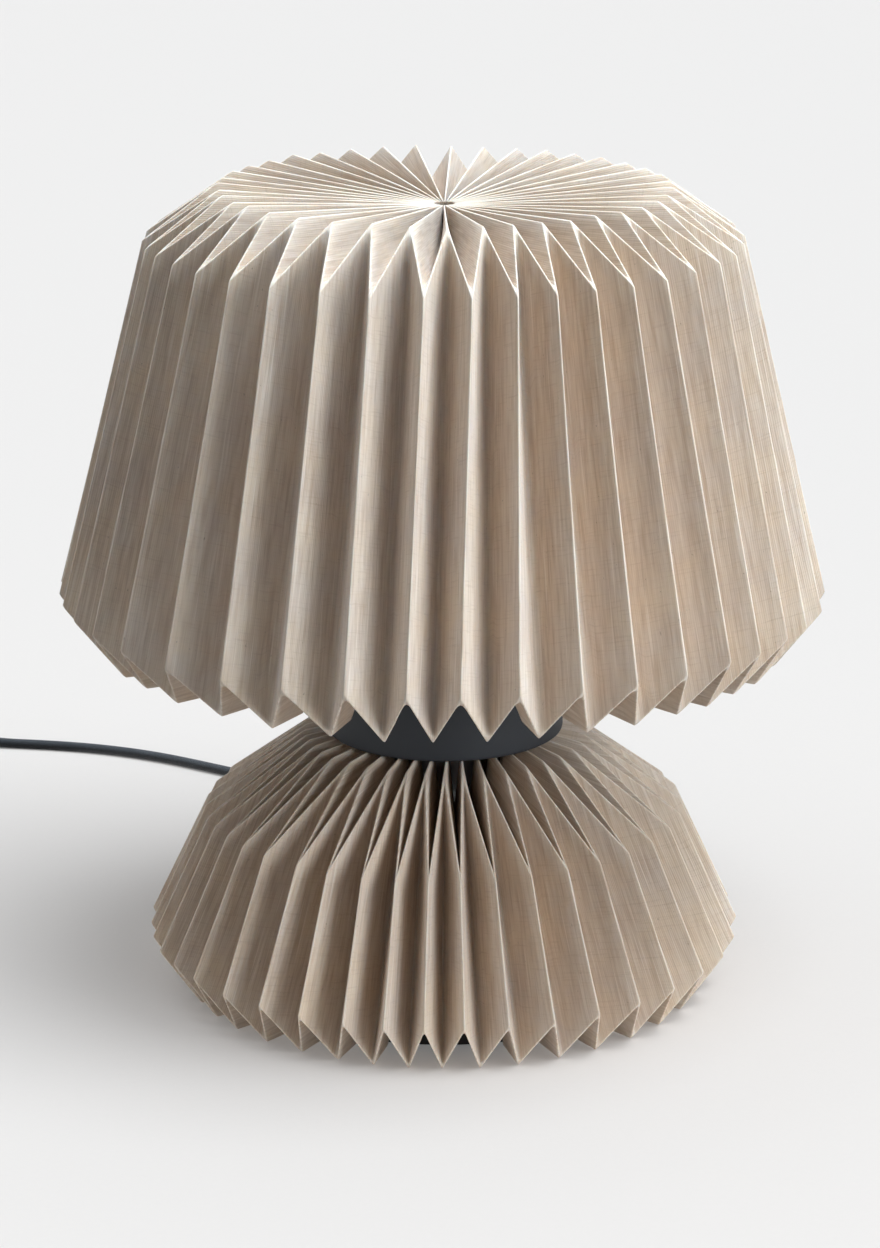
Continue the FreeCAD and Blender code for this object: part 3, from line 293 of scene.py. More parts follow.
def linenOnCard(name, look, seed):
    # woven linen glued to card and pressed into folds: matt, with fine threads along the folds,
    # slubs and flecks, cloudy where the glue has darkened it, and paler along ridges and creases,
    # which is a painted highlight with a little wear in it
    material, tree = newMaterial(name)
    place = surfacePlace(tree)
    parts = addNode(tree, "ShaderNodeSeparateXYZ", {"Vector": place})
    stray = grain(tree, place, (4.0, 30.0, 50), 2.0, 0.6, seed)
    stray = stretched(tree, stray, -look["threadWander"], look["threadWander"])
    turns = calculated(tree, "DIVIDE", parts.outputs["X"], look["threadPitch"] * mm)
    turns = calculated(tree, "MULTIPLY", calculated(tree, "ADD", turns, stray), 2 * math.pi)
    thread = stretched(tree, calculated(tree, "SINE", turns), 0, 1, -1, 1)
    uneven = grain(tree, place, (1.5, 24.0, 50), 1.0, 0.6, seed + 3)
    weft = grain(tree, place, (look["weftLength"], look["weftWidth"], 50), 1.0, 0.6, seed + 5)
    slub = grain(tree, place, (look["slubWidth"], look["slubLength"], 50), 0.0, 0.5, seed + 7)
    patch = grain(tree, place, look["patch"], 3.0, 0.6, seed + 11)
    fleck = grain(tree, place, (look["fleckSize"], 2 * look["fleckSize"], 9), 1.0, 0.5, seed + 17)
    base = mixed(tree, stretched(tree, patch, 0, 1, 0.35, 0.65), srgb(look["warm"]), srgb(look["grey"]))
    colour = mixed(tree, stretched(tree, thread, 0.13, 0), base, srgb(look["gap"]))
    colour = mixed(tree, stretched(tree, uneven, 0, 0.42, 0.5, 0.8), colour, srgb(look["thread"]))
    colour = mixed(tree, stretched(tree, uneven, 0.42, 0, 0.25, 0.5), colour, srgb(look["gap"]))
    colour = mixed(tree, stretched(tree, weft, 0, 0.3, 0.55, 0.8), colour, srgb(look["gap"]))
    colour = mixed(tree, stretched(tree, slub, 0, 0.6, 0.68, 0.8), colour, srgb(look["thread"]))
    colour = mixed(tree, stretched(tree, fleck, 0, 0.5, 0.76, 0.82), colour, srgb(look["fleck"]))
    # painted highlight: ridges and creases turn paler towards fold, unevenly, with a little wear
    edge = addNode(tree, "ShaderNodeAttribute", attribute_name="edge").outputs["Fac"]
    highlightAndWear = calculated(tree, "MULTIPLY", edge, stretched(tree, uneven, 0, look["foldShow"], 0.2, 0.6))
    colour = mixed(tree, highlightAndWear, colour, srgb(look["fold"]))
    height = calculated(tree, "ADD", thread, calculated(tree, "MULTIPLY", weft, 0.6))
    shader = {"Roughness": 0.9, "Sheen_Weight": 0.1, "Sheen_Roughness": 0.5, "Subsurface_Weight": 0.3}
    shader |= {"Subsurface_Radius": (1.0, 0.6, 0.35), "Subsurface_Scale": 1.5 * mm}
    return finishMaterial(material, tree, colour, height, 0.045, Specular_IOR_Level=0.2, **shader)


def plainFinish(name, first, second, size, bump, shader):
    # two near colours clouded together over a fine grain, for mouldings, coats and metals
    material, tree = newMaterial(name)
    place = objectPlace(tree)
    cloud = stretched(tree, grain(tree, place, size * 12, 3.0, 0.6), 0, 1, 0.35, 0.65)
    colour = mixed(tree, cloud, srgb(first), srgb(second))
    return finishMaterial(material, tree, colour, grain(tree, place, size, 2.0, 0.6), bump, **shader)


def braidedCotton(name, look):
    # cotton braid over a lead: two families of yarns that cross, dull and slightly hairy
    material, tree = newMaterial(name)
    place = surfacePlace(tree)
    parts = addNode(tree, "ShaderNodeSeparateXYZ", {"Vector": place})
    around, along = parts.outputs["X"], parts.outputs["Y"]
    rate = 2 * math.pi / (look["yarn"] * mm)
    waves = []
    for way in (1, -1):
        lean = calculated(tree, "MULTIPLY_ADD", along, way)
        lean.node.inputs[2].default_value = 0
        tree.links.new(around, lean.node.inputs[2])
        waves.append(calculated(tree, "SINE", calculated(tree, "MULTIPLY", lean, rate)))
    weave = calculated(tree, "MULTIPLY", waves[0], waves[1])
    tone = stretched(tree, weave, 0, 1, -0.6, 0.8)
    colour = mixed(tree, tone, srgb(look["deep"]), srgb(look["yarnColour"]))
    hair = grain(tree, place, (0.5, 2.5, 5), 2.0)
    colour = mixed(tree, stretched(tree, hair, 0, 0.5, 0.55, 0.8), colour, srgb(look["hair"]))
    shader = {"Roughness": 0.85, "Sheen_Weight": 0.4, "Sheen_Roughness": 0.4}
    return finishMaterial(material, tree, colour, weave, 0.15, **shader)


print("making the materials")

leadLook = {"yarn": 1.18, "deep": "#0d0d0f", "yarnColour": "#2b2c30", "hair": "#47484c"}
leadBraid = braidedCotton("braidedCotton", leadLook)
shadeCloth = linenOnCard("linenOnCardShade", clothLook, 2.0)
footCloth = linenOnCard("linenOnCardFoot", clothLook, 31.0)
powderAnthracite = plainFinish(
    # fine matt powder coat on steel: an even dark grey with a very soft highlight
    "powderCoatAnthracite", "#2a2c30", "#2b2d30", 0.5, 0.02,
    {"Roughness": 0.62, "Specular_IOR_Level": 0.4},
)
powderBlack = plainFinish(
    # coarser black powder coat on the cut steel weight
    "powderCoatBlack", "#141416", "#1b1b1e", 0.8, 0.05, {"Roughness": 0.55},
)
powderWhite = plainFinish(
    # white powder coat on welded wire: satin, with soft edges
    "powderCoatWhite", "#e3e0d9", "#d8d4cb", 0.7, 0.03, {"Roughness": 0.4},
)
zincPlate = plainFinish(
    # bright zinc on pressed steel: cloudy grey metal
    "zincPlatedSteel", "#b3b3b0", "#9c9d9c", 1.5, 0.02, {"Roughness": 0.33, "Metallic": 1.0},
)
turnedBrass = plainFinish(
    # brass off the lathe: warm and fairly smooth
    "turnedBrass", "#b99a55", "#a88742", 0.6, 0.01, {"Roughness": 0.28, "Metallic": 1.0},
)
nickelPlate = plainFinish(
    # nickel-plated brass: pale grey mirror with fine wear
    "nickelPlatedBrass", "#c9c6bf", "#b9b6ae", 0.6, 0.01, {"Roughness": 0.2, "Metallic": 1.0},
)
mouldedBlack = plainFinish(
    # moulded black polyamide: matt spark-eroded skin
    "mouldedPolyamide", "#17181a", "#1e1f22", 0.35, 0.03, {"Roughness": 0.5},
)
smoothBlack = plainFinish(
    # polished mould, so the rocker shines more than its housing
    "polishedPolyamide", "#131416", "#18191b", 0.5, 0.005, {"Roughness": 0.22},
)
softBlack = plainFinish(
    # soft PVC relief: dull and a little grey
    "softVinyl", "#1a1a1c", "#242427", 0.5, 0.02, {"Roughness": 0.6},
)
glazedPorcelain = plainFinish(
    # glazed steatite insert: clean white with a hard gloss
    "glazedPorcelain", "#e9e6df", "#e2ded5", 2.0, 0.01, {"Roughness": 0.15, "Coat_Weight": 0.5},
)
darkVitrite = plainFinish(
    # black glass that insulates the bulb's tip
    "darkVitrite", "#141218", "#1b1820", 0.8, 0.01, {"Roughness": 0.12},
)
mouldedWhite = plainFinish(
    # moulded white PBT of the bulb's housing: satin
    "mouldedWhitePbt", "#e8e6e0", "#dfddd6", 0.5, 0.01, {"Roughness": 0.38},
)
boardWhite = plainFinish(
    # white solder mask on an aluminium board
    "whiteSolderMask", "#eeece6", "#e4e2db", 0.7, 0.01, {"Roughness": 0.3},
)
opalShell = plainFinish(
    # opal polycarbonate: milky, lets light in a little way below its skin
    "opalPolycarbonate", "#f3f1ea", "#efece3", 1.0, 0.005,
    {"Roughness": 0.3, "Subsurface_Weight": 0.4, "Subsurface_Scale": 0.004},
)
pressedFelt = plainFinish(
    # pressed wool felt under the foot: black, fibrous and without shine
    "pressedWoolFelt", "#121213", "#1d1d1f", 0.7, 0.25, {"Roughness": 0.95, "Sheen_Weight": 0.3},
)
twistedLinen = plainFinish(
    # waxed linen thread: cream with darker plies
    "waxedLinenThread", "#cbb999", "#a8946f", 0.12, 0.05, {"Roughness": 0.8},
)


def keepNode(node, material):
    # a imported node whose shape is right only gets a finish
    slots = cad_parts[node].data.materials
    slots.clear()
    slots.append(material)


# Camera

view = {"place": (-2.2, -1877.1, 768.4), "down": 17.03, "lens": 107.5}

print("placing the camera")
cameraData = bpy.data.cameras.new("camera")
cameraData.lens = view["lens"]
cameraData.clip_end = 50
camera = bpy.data.objects.new("camera", cameraData)
camera.location = [length * mm for length in view["place"]]
camera.rotation_euler = (math.radians(90 - view["down"]), 0, 0)
bpy.context.scene.collection.objects.link(camera)
bpy.context.scene.camera = camera


# Lead, its relief, switch and plug

lead = {
    "radius": 3.0,
    "bearing": -0.5,  # the way out of the foot, from straight back towards -X
    "exit": 138.3,  # from the lamp's axis to the relief's end
    "level": 6.0,
    "straight": 14.0,
    "drop": 40.0,
    "route": [
        (-1, 212), (-22, 244), (-99, 286), (-144, 316),
        (-180, 338), (-215, 352), (-250, 360), (-283, 364),
    ],
}
switch = {
    "start": (-318.0, 368.2),
    "heading": 174.0,  # from +X, the way that the lead runs through it
    "level": 6.5,
    "run": 12.0,
    "long": 60.0,
    "wide": 24.0,
    "high": 15.0,
    "endFlat": 4.0,
}
coil = {
    "radius": 44.0,
    "step": 6.6,
    "turns": 5.5,
    "runUp": 42.0,
    "plugAfter": 46.0,
    "perTurn": 24,
}
plug = {
    "thick": 13.6,
    "wide": 26.0,
    "relief": 20.0,
    "long": 36.0,
    "tail": 4.2,
    "neck": 5.2,
    "flare": 9.0,
    "pinRadius": 2.0,
    "pinLong": 19.0,
    "pinSpacing": 19.0,
    "sleeve": 10.0,
}


def leadPoint(along, level):
    turn = math.radians(lead["bearing"])
    return (-along * math.sin(turn), along * math.cos(turn), level)


def headingWay(degrees):
    return np.array([math.cos(math.radians(degrees)), math.sin(math.radians(degrees)), 0])


def switchPoint(along):
    return np.array([*switch["start"], switch["level"]]) + headingWay(switch["heading"]) * along


def routeLine(name, points, resolution=12):
    # the smooth line of a route: a NURBS spline with the points as its controls
    curve = bpy.data.curves.new(name, "CURVE")
    curve.dimensions = "3D"
    curve.resolution_u = resolution
    spline = curve.splines.new("NURBS")
    spline.points.add(len(points) - 1)
    weighted = np.column_stack([np.asarray(points, float) * mm, np.ones(len(points))])
    spline.points.foreach_set("co", weighted.reshape(-1))
    spline.order_u = 3
    spline.use_endpoint_u = True
    holder = bpy.data.objects.new(name, curve)
    bpy.context.scene.collection.objects.link(holder)
    bpy.context.view_layer.update()
    mesh = bpy.data.meshes.new_from_object(holder)
    line = np.zeros(len(mesh.vertices) * 3)
    mesh.vertices.foreach_get("co", line)
    bpy.data.objects.remove(holder)
    bpy.data.curves.remove(curve)
    bpy.data.meshes.remove(mesh)
    return line.reshape(-1, 3) / mm


def lineLength(line):
    return float(np.linalg.norm(np.diff(line, axis=0), axis=1).sum())


print("laying the lead")
leadStart = leadPoint(lead["exit"], lead["level"])
leadRoute = [
    leadStart,
    leadPoint(lead["exit"] + lead["straight"], lead["level"]),
    leadPoint(lead["exit"] + lead["drop"], lead["radius"]),
    *[(x, y, lead["radius"]) for x, y in lead["route"]],
    switchPoint(-switch["run"]),
    switchPoint(0),
]
leadLine = routeLine("leadRoute", leadRoute)
leadPiece = makePiece(
    "leadBraid", [tubeGrid(leadLine, lead["radius"], 24)], leadBraid,
    replaces=["cord_lead"],
)


def coilPoint(turns, centre):
    # spiralling in on the floor, up where the spiral reverses, and out again on top
    half = coil["turns"] / 2
    radius = coil["radius"] - coil["step"] * (half - abs(turns - half))
    climb = min(max((turns - half) * 2 + 0.5, 0), 1)
    level = lead["radius"] + coil["step"] * (1 - math.cos(math.pi * climb)) / 2
    return centre + headingWay(switch["heading"] - 90 + 360 * turns) * radius + up * level


way = headingWay(switch["heading"])
outlet = switchPoint(switch["long"])
coilCentre = outlet + way * coil["runUp"] + headingWay(switch["heading"] + 90) * coil["radius"]
coilCentre[2] = 0
coilCount = int(coil["turns"] * coil["perTurn"])
coilTurns = [coilPoint(k / coil["perTurn"], coilCentre) for k in range(coilCount + 1)]
plugStart = coilTurns[-1] - way * coil["plugAfter"]
plugStart[2] = plug["thick"] / 2
coilRoute = [outlet, outlet + way * 9, outlet + way * 24 - up * 3.2, *coilTurns]
coilRoute += [coilTurns[-1] - way * 20 - up * 0.5, plugStart + way * 9, plugStart]
coilLine = routeLine("coilRoute", coilRoute, 6)
coilPiece = makePiece(
    "leadCoil", [tubeGrid(coilLine, lead["radius"], 20)], leadBraid,
    replaces=["cord_coil"],
)

inner = {
    "bend": 59.0,  # from the lamp's axis to where the lead turns up
    "wall": 15.0,
    "slot": 51.0,  # height at which it enters the stem
    "top": 101.0,
}
innerRoute = [
    leadPoint(102.0, lead["level"]),
    leadPoint(inner["bend"], lead["level"]),
    leadPoint(inner["wall"], inner["slot"]),
    leadPoint(0, inner["top"]),
    leadPoint(0, nodeBox("inner_lead")[1][2]),
]
makePiece(
    "innerLead", [tubeGrid(routeLine("innerRoute", innerRoute), lead["radius"], 16, (1, 0, 0))],
    leadBraid, replaces=["inner_lead"],
)

grip = {"body": 11.0, "taper": 26.0, "radius": 4.6, "end": 3.7, "rings": 4, "groove": 0.5}
gripOut = np.array(leadPoint(1, 0))
gripProfile = [(0, 0), (grip["radius"], 0), (grip["radius"], grip["body"])]
for k in range(grip["rings"]):
    for share, deep in ((0.1, 0), (0.12, 1), (0.2, 1), (0.22, 0)):
        along = share + 0.2 * k
        wall = grip["radius"] - (grip["radius"] - grip["end"]) * along - grip["groove"] * deep
        gripProfile.append((wall, grip["body"] + grip["taper"] * along))
gripTail = grip["body"] + grip["taper"]
gripProfile += [(grip["end"], gripTail - 0.4), (grip["end"] - 0.6, gripTail), (0, gripTail)]
gripFoot = leadPoint(lead["exit"] - gripTail, lead["level"])
makePiece(
    "leadGrip", [turnedGrid(rounded(gripProfile, 0.35, 4), 48, gripFoot, gripOut)], softBlack,
    replaces=["cord_grip"],
)


def shellRows(rows, low, corner, long, wide):
    # rings of a rounded block, each row given as (inset, height)
    rings = []
    for inset, height in rows:
        ring = outlineRing(long / 2 - inset, wide / 2 - inset, max(corner - inset, 0.3))
        rings.append(np.column_stack([ring, np.full(len(ring), low + height)]))
    return np.stack(rings)


print("moulding the switch")
switchCorner = switch["wide"] / 2 - switch["endFlat"]
switchMiddle = switchPoint(switch["long"] / 2)
switchMiddle[2] = 0
window = {"long": 17.6, "wide": 10.6, "corner": 0.8, "lip": 0.5}
baseRows = rounded([(12, 0), (0.9, 0), (0, 0.9), (0, 6.3), (0.3, 6.3)], 0.6, 4)
baseShell = shellRows(baseRows, 0, switchCorner, switch["long"], switch["wide"])
seamRows = np.array([(0.35, 6.25), (0.35, 6.75)])
seamShell = shellRows(seamRows, 0, switchCorner, switch["long"], switch["wide"])
coverHigh = switch["high"]
coverRows = rounded([(0.3, 6.7), (0, 6.7), (0, coverHigh - 2.2), (2.4, coverHigh)], 1.6, 7)
coverShell = shellRows(coverRows, 0, switchCorner, switch["long"], switch["wide"])
windowRows = [(0, coverHigh), (window["lip"], coverHigh - 0.4), (window["lip"], 7.5)]
windowShell = shellRows(windowRows, 0, window["corner"] + window["lip"], window["long"] + 2 * window["lip"],
                        window["wide"] + 2 * window["lip"])
makePiece(
    "switchFoot", [(placed(shell, switchMiddle, switch["heading"]), None, {})
                   for shell in (baseShell, seamShell)],
    mouldedBlack, replaces=["switch_base"],
)
makePiece(
    "switchLid",
    [(placed(np.concatenate([coverShell, windowShell]), switchMiddle, switch["heading"]), None, {})],
    mouldedBlack, replaces=["switch_cover"], closed=False,
)
rocker = {"long": 17.0, "wide": 10.0, "tilt": 8.0, "sink": 2.5, "crest": 1.6, "floor": 3.5}
rockerTilt = math.radians(rocker["tilt"])
rockerRadius = rocker["long"] / 2
crestOff = rocker["crest"] * math.cos(rockerTilt)
crestReach = math.sqrt(rockerRadius**2 - crestOff**2)
tipAngle = rockerTilt + math.atan2(crestOff, crestReach)
floorAngle = -math.asin(rocker["floor"] / rockerRadius)
rightArc = np.linspace(tipAngle, floorAngle, 9)
leftArc = np.pi - rightArc[::-1]
arcs = np.concatenate([rightArc, leftArc])
rockerRing = rockerRadius * np.stack([np.cos(arcs), np.sin(arcs)], axis=1)
crestLine = rounded([rockerRing[-1], (0, rocker["crest"]), rockerRing[0]], 2.5, 5)[1:]
rockerRing = np.concatenate([rockerRing, crestLine])
rockerRows = [(-1, 0.0), (-1, 0.9), (-0.985, 0.965), (-0.94, 1.0), (0.94, 1.0), (0.985, 0.965), (1, 0.9), (1, 0.0)]
rockerGrid = np.stack([
    np.stack([rockerRing[:, 0] * size, np.full(len(rockerRing), side * rocker["wide"] / 2),
              rockerRing[:, 1] * size], axis=1)
    for side, size in rockerRows
])
tipped = np.array([[math.cos(rockerTilt), 0, math.sin(rockerTilt)], [0, 1, 0],
                   [-math.sin(rockerTilt), 0, math.cos(rockerTilt)]])
rockerGrid = rockerGrid @ tipped.T + (0, 0, switch["high"] - rocker["sink"])
makePiece(
    "switchRocker", [(placed(rockerGrid, switchMiddle, switch["heading"]), None, {})], smoothBlack,
    body="rocker", replaces=["switch_rocker"],
)
keepNode("switch_screws", zincPlate)

print("moulding the plug")
plugWay = -way
plugTurn = switch["heading"] + 180
noseAt = plug["relief"] + plug["long"]
plugSections = rounded(
    [
        (0, 0.1, 0.1), (0, plug["tail"], plug["tail"]), (plug["relief"], plug["neck"], plug["neck"]),
        (plug["relief"] + plug["flare"], plug["wide"] / 2 - 1, plug["thick"] / 2),
        (noseAt - 2, plug["wide"] / 2, plug["thick"] / 2), (noseAt, plug["wide"] / 2 - 0.6, plug["thick"] / 2 - 0.6),
        (noseAt, 0.1, 0.1),
    ],
    4, 6, 3,
)
ringTurn = np.linspace(0, 2 * np.pi, 49)
squareness = np.clip((plugSections[:, 0] - plug["relief"]) / plug["flare"], 0, 1)[:, None]
power = 1 - 0.45 * squareness
ringX = np.sign(np.cos(ringTurn)) * np.abs(np.cos(ringTurn))[None, :] ** power
ringZ = np.sign(np.sin(ringTurn)) * np.abs(np.sin(ringTurn))[None, :] ** power
ribs = 1 - 0.06 * (np.sin(plugSections[:, 0] * 2 * np.pi / 4) > 0.3) * (plugSections[:, 0] < plug["relief"] - 2)
plugGrid = np.stack([
    np.broadcast_to(plugSections[:, :1], ringX.shape),
    ringX * (plugSections[:, 1] * ribs)[:, None],
    ringZ * (plugSections[:, 2] * ribs)[:, None],
], axis=-1)
plugPiece = makePiece(
    "plugMoulding", [(placed(plugGrid, plugStart, plugTurn), None, {})], mouldedBlack,
    replaces=["plug_body"],
)
sleeveGrids, tipGrids = [], []
for side in (-0.5, 0.5):
    across = np.array([-plugWay[1], plugWay[0], 0]) * side * plug["pinSpacing"]
    foot = plugStart + plugWay * noseAt + across
    thin = plug["pinRadius"] - 0.1
    sleeve = [(0, -0.5), (thin, -0.5), (thin, plug["sleeve"]), (0, plug["sleeve"])]
    sleeveGrids.append(turnedGrid(rounded(sleeve, 0.1, 3), 28, foot, plugWay))
    long = plug["pinLong"]
    tip = [(0, plug["sleeve"] - 1), (thin - 0.2, plug["sleeve"] - 1), (thin - 0.2, plug["sleeve"]),
           (plug["pinRadius"], plug["sleeve"]), (plug["pinRadius"], long), (0, long)]
    tipGrids.append(turnedGrid(rounded(tip, 1.3, 6), 28, foot, plugWay))
pinSleeves = makePiece("pinSleeves", sleeveGrids, smoothBlack)
pinTips = makePiece("plugPins", tipGrids, nickelPlate, replaces=["plug_pins"])

print("lead", round(lineLength(leadLine)), "mm and", round(lineLength(coilLine)), "mm")


# Pleated sheets. Even fold lines are the ridges of the wall; past each corner a fold swaps side.

shade = {
    "pleats": 40,
    "panel": 31.8,
    "turn": 2.5,
    "middle": [(5.5, 401.765), (134.6, 414.2), (189.6, 202.5), (150.0, 202.5)],
    "drift": [  # slow wander of the folds round the shoulder and the hem: degrees, waves, phase
        [(1.36, 1, -107), (1.11, 2, -39), (1.32, 3, 8), (0.54, 4, 2), (0.33, 5, -49)],
        [(4.23, 1, -115), (1.0, 2, -38), (2.72, 3, 42), (0.47, 4, -97), (1.28, 5, -130)],
    ],
    "jitter": 0.2,  # degrees
    "uneven": 0.7,
    "bow": 0.9,
    "ridgeCut": 0.7,
    "valleyCut": 7.0,
    "creaseCut": 1.1,
    "seed": 11,
}
foot = {
    "pleats": 40,
    "panel": 31.8,
    "turn": -0.5,
    "middle": [(50.0, 123.566), (100.3, 115.6), (148.4, 14.6), (113.8, 15.5)],
    "drift": [
        [(3.24, 1, -142), (2.55, 2, -149), (1.44, 3, -8), (0.78, 4, -48), (0.81, 5, -137)],
        [(3.24, 1, -142), (2.55, 2, -149), (1.44, 3, -8), (0.78, 4, -48), (0.81, 5, -137)],
    ],
    "jitter": 0.2,
    "uneven": 0.5,
    "bow": 0.6,
    "ridgeCut": 0.7,
    "valleyCut": 5.5,
    "creaseCut": 1.0,
    "floor": 0.4,
    "seed": 23,
}


def foldCorners(cloth):
    # every fold line's four corner points, [fold, corner, xyz]
    dice = np.random.default_rng(cloth["seed"])
    count = 2 * cloth["pleats"]
    nominal = cloth["turn"] + np.arange(count) * 360 / count
    bearings = np.repeat(nominal[:, None], 4, axis=1)
    for corner, waves in zip((1, 2), cloth["drift"]):
        for size, number, phase in waves:
            bearings[:, corner] += size * np.cos(np.radians(number * nominal - phase))
        bearings[:, corner] += dice.normal(0, cloth["jitter"], count)
    bearings[:, 0] = (nominal + bearings[:, 1]) / 2
    bearings[:, 3] = bearings[:, 2]
    middle = np.array(cloth["middle"])
    runs = np.diff(middle, axis=0)
    normals = np.stack([-runs[:, 1], runs[:, 0]], axis=1)
    normals /= np.linalg.norm(normals, axis=1, keepdims=True)
    unit = np.zeros((4, 2))  # a wall ridge's step from the middle line per unit of half depth
    unit[0], unit[3] = (0, -1 / normals[0, 1]), (0, -1 / normals[2, 1])
    for corner, side in ((1, -1), (2, 1)):
        unit[corner] = np.linalg.solve(normals[corner - 1 : corner + 1], (side, -side))
    ring = np.concatenate([bearings[-1:] - 360, bearings, bearings[:1] + 360])
    step = np.radians(ring[2:] - ring[:-2]) / 2
    chord = 2 * middle[:, 0] * np.sin(step / 2)
    half = np.sqrt(cloth["panel"] ** 2 - chord**2) / 2
    half *= np.where(np.arange(count) % 2, -1, 1)[:, None]
    place = middle + half[..., None] * unit
    place[:, 1:3] += dice.normal(0, cloth["uneven"] / 2, (count, 2, 2))
    turn = np.radians(bearings)
    radius, height = place[..., 0], place[..., 1]
    height = np.maximum(height, cloth.get("floor", -1e9))
    return np.stack([radius * np.sin(turn), -radius * np.cos(turn), height], axis=-1)


def pleatedGrid(cloth, perRun=(10, 18, 6), bends=7, arcSteps=5, inside=6):
    # every column is a mix of its fold line and the two beside it: a short curve over the fold,
    # then a straight panel that bows a little
    corners = foldCorners(cloth)
    lines, ridgeness, crease, swell = foldRows(cloth, corners, perRun, bends)
    before, after = np.roll(lines, 1, axis=0), np.roll(lines, -1, axis=0)
    lengths = np.concatenate(
        [np.zeros((len(lines), 1)), np.cumsum(np.linalg.norm(np.diff(lines, axis=1), axis=2), axis=1)], axis=1
    )
    dice = np.random.default_rng(cloth["seed"] + 1)
    bow = cloth["bow"] * dice.uniform(0.2, 1.0, len(lines))[:, None] * swell[None, :]
    cut = cloth["valleyCut"] + (cloth["ridgeCut"] - cloth["valleyCut"]) * (ridgeness + 1) / 2
    share = cut / cloth["panel"]
    nextShare = np.roll(share, -1, axis=0)
    nextRidge = np.roll(ridgeness, -1, axis=0)
    nextLengths = np.roll(lengths, -1, axis=0)
    along = np.gradient(lines, axis=1)
    outward = np.cross(after - lines, along)
    outward /= np.linalg.norm(outward, axis=2, keepdims=True)
    columns, across, down, edges = [], [], [], []
    fold = np.arange(len(lines))[:, None]
    for t in np.linspace(0, 1, arcSteps):
        left, right = share * (1 - t) ** 2, share * t**2
        points = before * left[..., None] + lines * (1 - left - right)[..., None] + after * right[..., None]
        columns.append(points)
        across.append((fold + right - left) * cloth["panel"])
        down.append(lengths)
        # edges: how far each point lies on a ridge or crease, where the cloth gets its painted highlight
        edges.append(np.maximum(np.clip(ridgeness, 0, 1) * (1 - (2 * t - 1) ** 2), crease[None, :]))
    for t in np.linspace(0, 1, inside + 2)[1:-1]:
        q = share + (1 - share - nextShare) * t
        points = lines * (1 - q)[..., None] + after * q[..., None]
        points = points + outward * (bow * math.sin(math.pi * t))[..., None]
        columns.append(points)
        across.append((fold + q) * cloth["panel"])
        down.append(lengths * (1 - q) + nextLengths * q)
        edges.append(np.broadcast_to(crease[None, :], q.shape))
    grids = []
    for part in (columns, across, down, edges):
        stacked = np.stack(part, axis=1)
        stacked = stacked.reshape(-1, *stacked.shape[2:])
        grids.append(np.concatenate([stacked, stacked[:1]]))
    points, across, down, edges = grids
    across[-1] = len(lines) * cloth["panel"]
    uv = np.stack([across, down], axis=-1)
    return points.transpose(1, 0, 2), uv.transpose(1, 0, 2), {"edge": edges.T}


def foldRows(cloth, corners, perRun, bends):
    # points down each fold line, with how far each row is a ridge, a crease and free to bow
    bent = rounded(corners, cloth["creaseCut"], bends)
    marks = [0, 1, 1 + bends, 1 + 2 * bends]  # where each straight run begins in bent
    t = np.linspace(0, 1, bends)
    rows, role, crease, swell = [bent[:, :1]], [-1.0], [0.0], [0.0]
    for run, count in enumerate(perRun):
        start, stop = bent[:, marks[run + 1] - 1 : marks[run + 1]], bent[:, marks[run + 1] : marks[run + 1] + 1]
        share = np.linspace(0, 1, count + 1)[1:]
        rows.append(start + (stop - start) * share[None, :, None])
        side = 1.0 if run == 1 else -1.0
        role += [side] * count
        crease += [0.0] * count
        swell += np.sin(np.pi * share).tolist()
        if run < 2:
            rows.append(bent[:, marks[run + 1] + 1 : marks[run + 1] + bends])
            role += (side * (1 - 2 * t[1:])).tolist()
            crease += (1 - (2 * t[1:] - 1) ** 2).tolist()
            swell += [0.0] * (bends - 1)
    lines = np.concatenate(rows, axis=1)
    parity = np.where(np.arange(len(corners)) % 2, -1, 1)[:, None]
    return lines, parity * np.array(role)[None, :], np.array(crease), np.array(swell)


def makePleats(name, cloth, material, body, node):
    piece = makePiece(name, [pleatedGrid(cloth)], material, body, [node], closed=False, smooth=180)
    wall = piece.modifiers.new("card", "SOLIDIFY")
    wall.thickness = 0.35 * mm
    wall.offset = -1
    return piece


print("folding the shade and the foot")
shadePiece = makePleats("shadePleats", shade, shadeCloth, "shade", "shade_pleats")
footPiece = makePleats("footPleats", foot, footCloth, "root", "base_pleats")

gather = {"radius": 5.0, "wire": 0.5, "plies": 3, "lay": 9}
gatherTurn = np.linspace(0, 2 * np.pi, 145)
gatherLevel = nodeBox("gather_cord")[0][2] + gather["wire"]
plyGrids = []
for ply in range(gather["plies"]):
    twist = gather["lay"] * gatherTurn + ply * 2 * np.pi / gather["plies"]
    reach = gather["radius"] + gather["wire"] * 0.45 * np.cos(twist)
    plyLine = np.stack([reach * np.cos(gatherTurn), reach * np.sin(gatherTurn),
                        gatherLevel + gather["wire"] * 0.45 * np.sin(twist)], axis=1)
    plyGrids.append(tubeGrid(plyLine, gather["wire"] * 0.5, 8))
makePiece("gatherThread", plyGrids, twistedLinen, "shade", ["gather_cord"])


# Collar and foot hardware

print("turning the collar and the hardware")
low, high = nodeBox("collar")
collar = {"radius": high[0], "bottom": low[2], "top": high[2], "wall": 1.2, "round": 3.0, "bore": 5.3}
collarProfile = rounded(
    [
        (collar["bore"], collar["top"] - collar["wall"]),
        (collar["bore"], collar["top"]),
        (collar["radius"], collar["top"]),
        (collar["radius"], collar["bottom"] + 1.2),
        (collar["radius"] - 0.35, collar["bottom"]),
        (collar["radius"] - collar["wall"], collar["bottom"]),
        (collar["radius"] - collar["wall"], collar["top"] - collar["wall"]),
        (collar["bore"], collar["top"] - collar["wall"]),
    ],
    0.5, 4, 4,
)
makePiece(
    "collar", [turnedGrid(collarProfile, 192)], powderAnthracite, replaces=["collar"],
)
keepNode("base_pad", pressedFelt)
keepNode("base_plate", powderBlack)
keepNode("base_screws", zincPlate)
keepNode("stem", zincPlate)
keepNode("stem_bush", zincPlate)
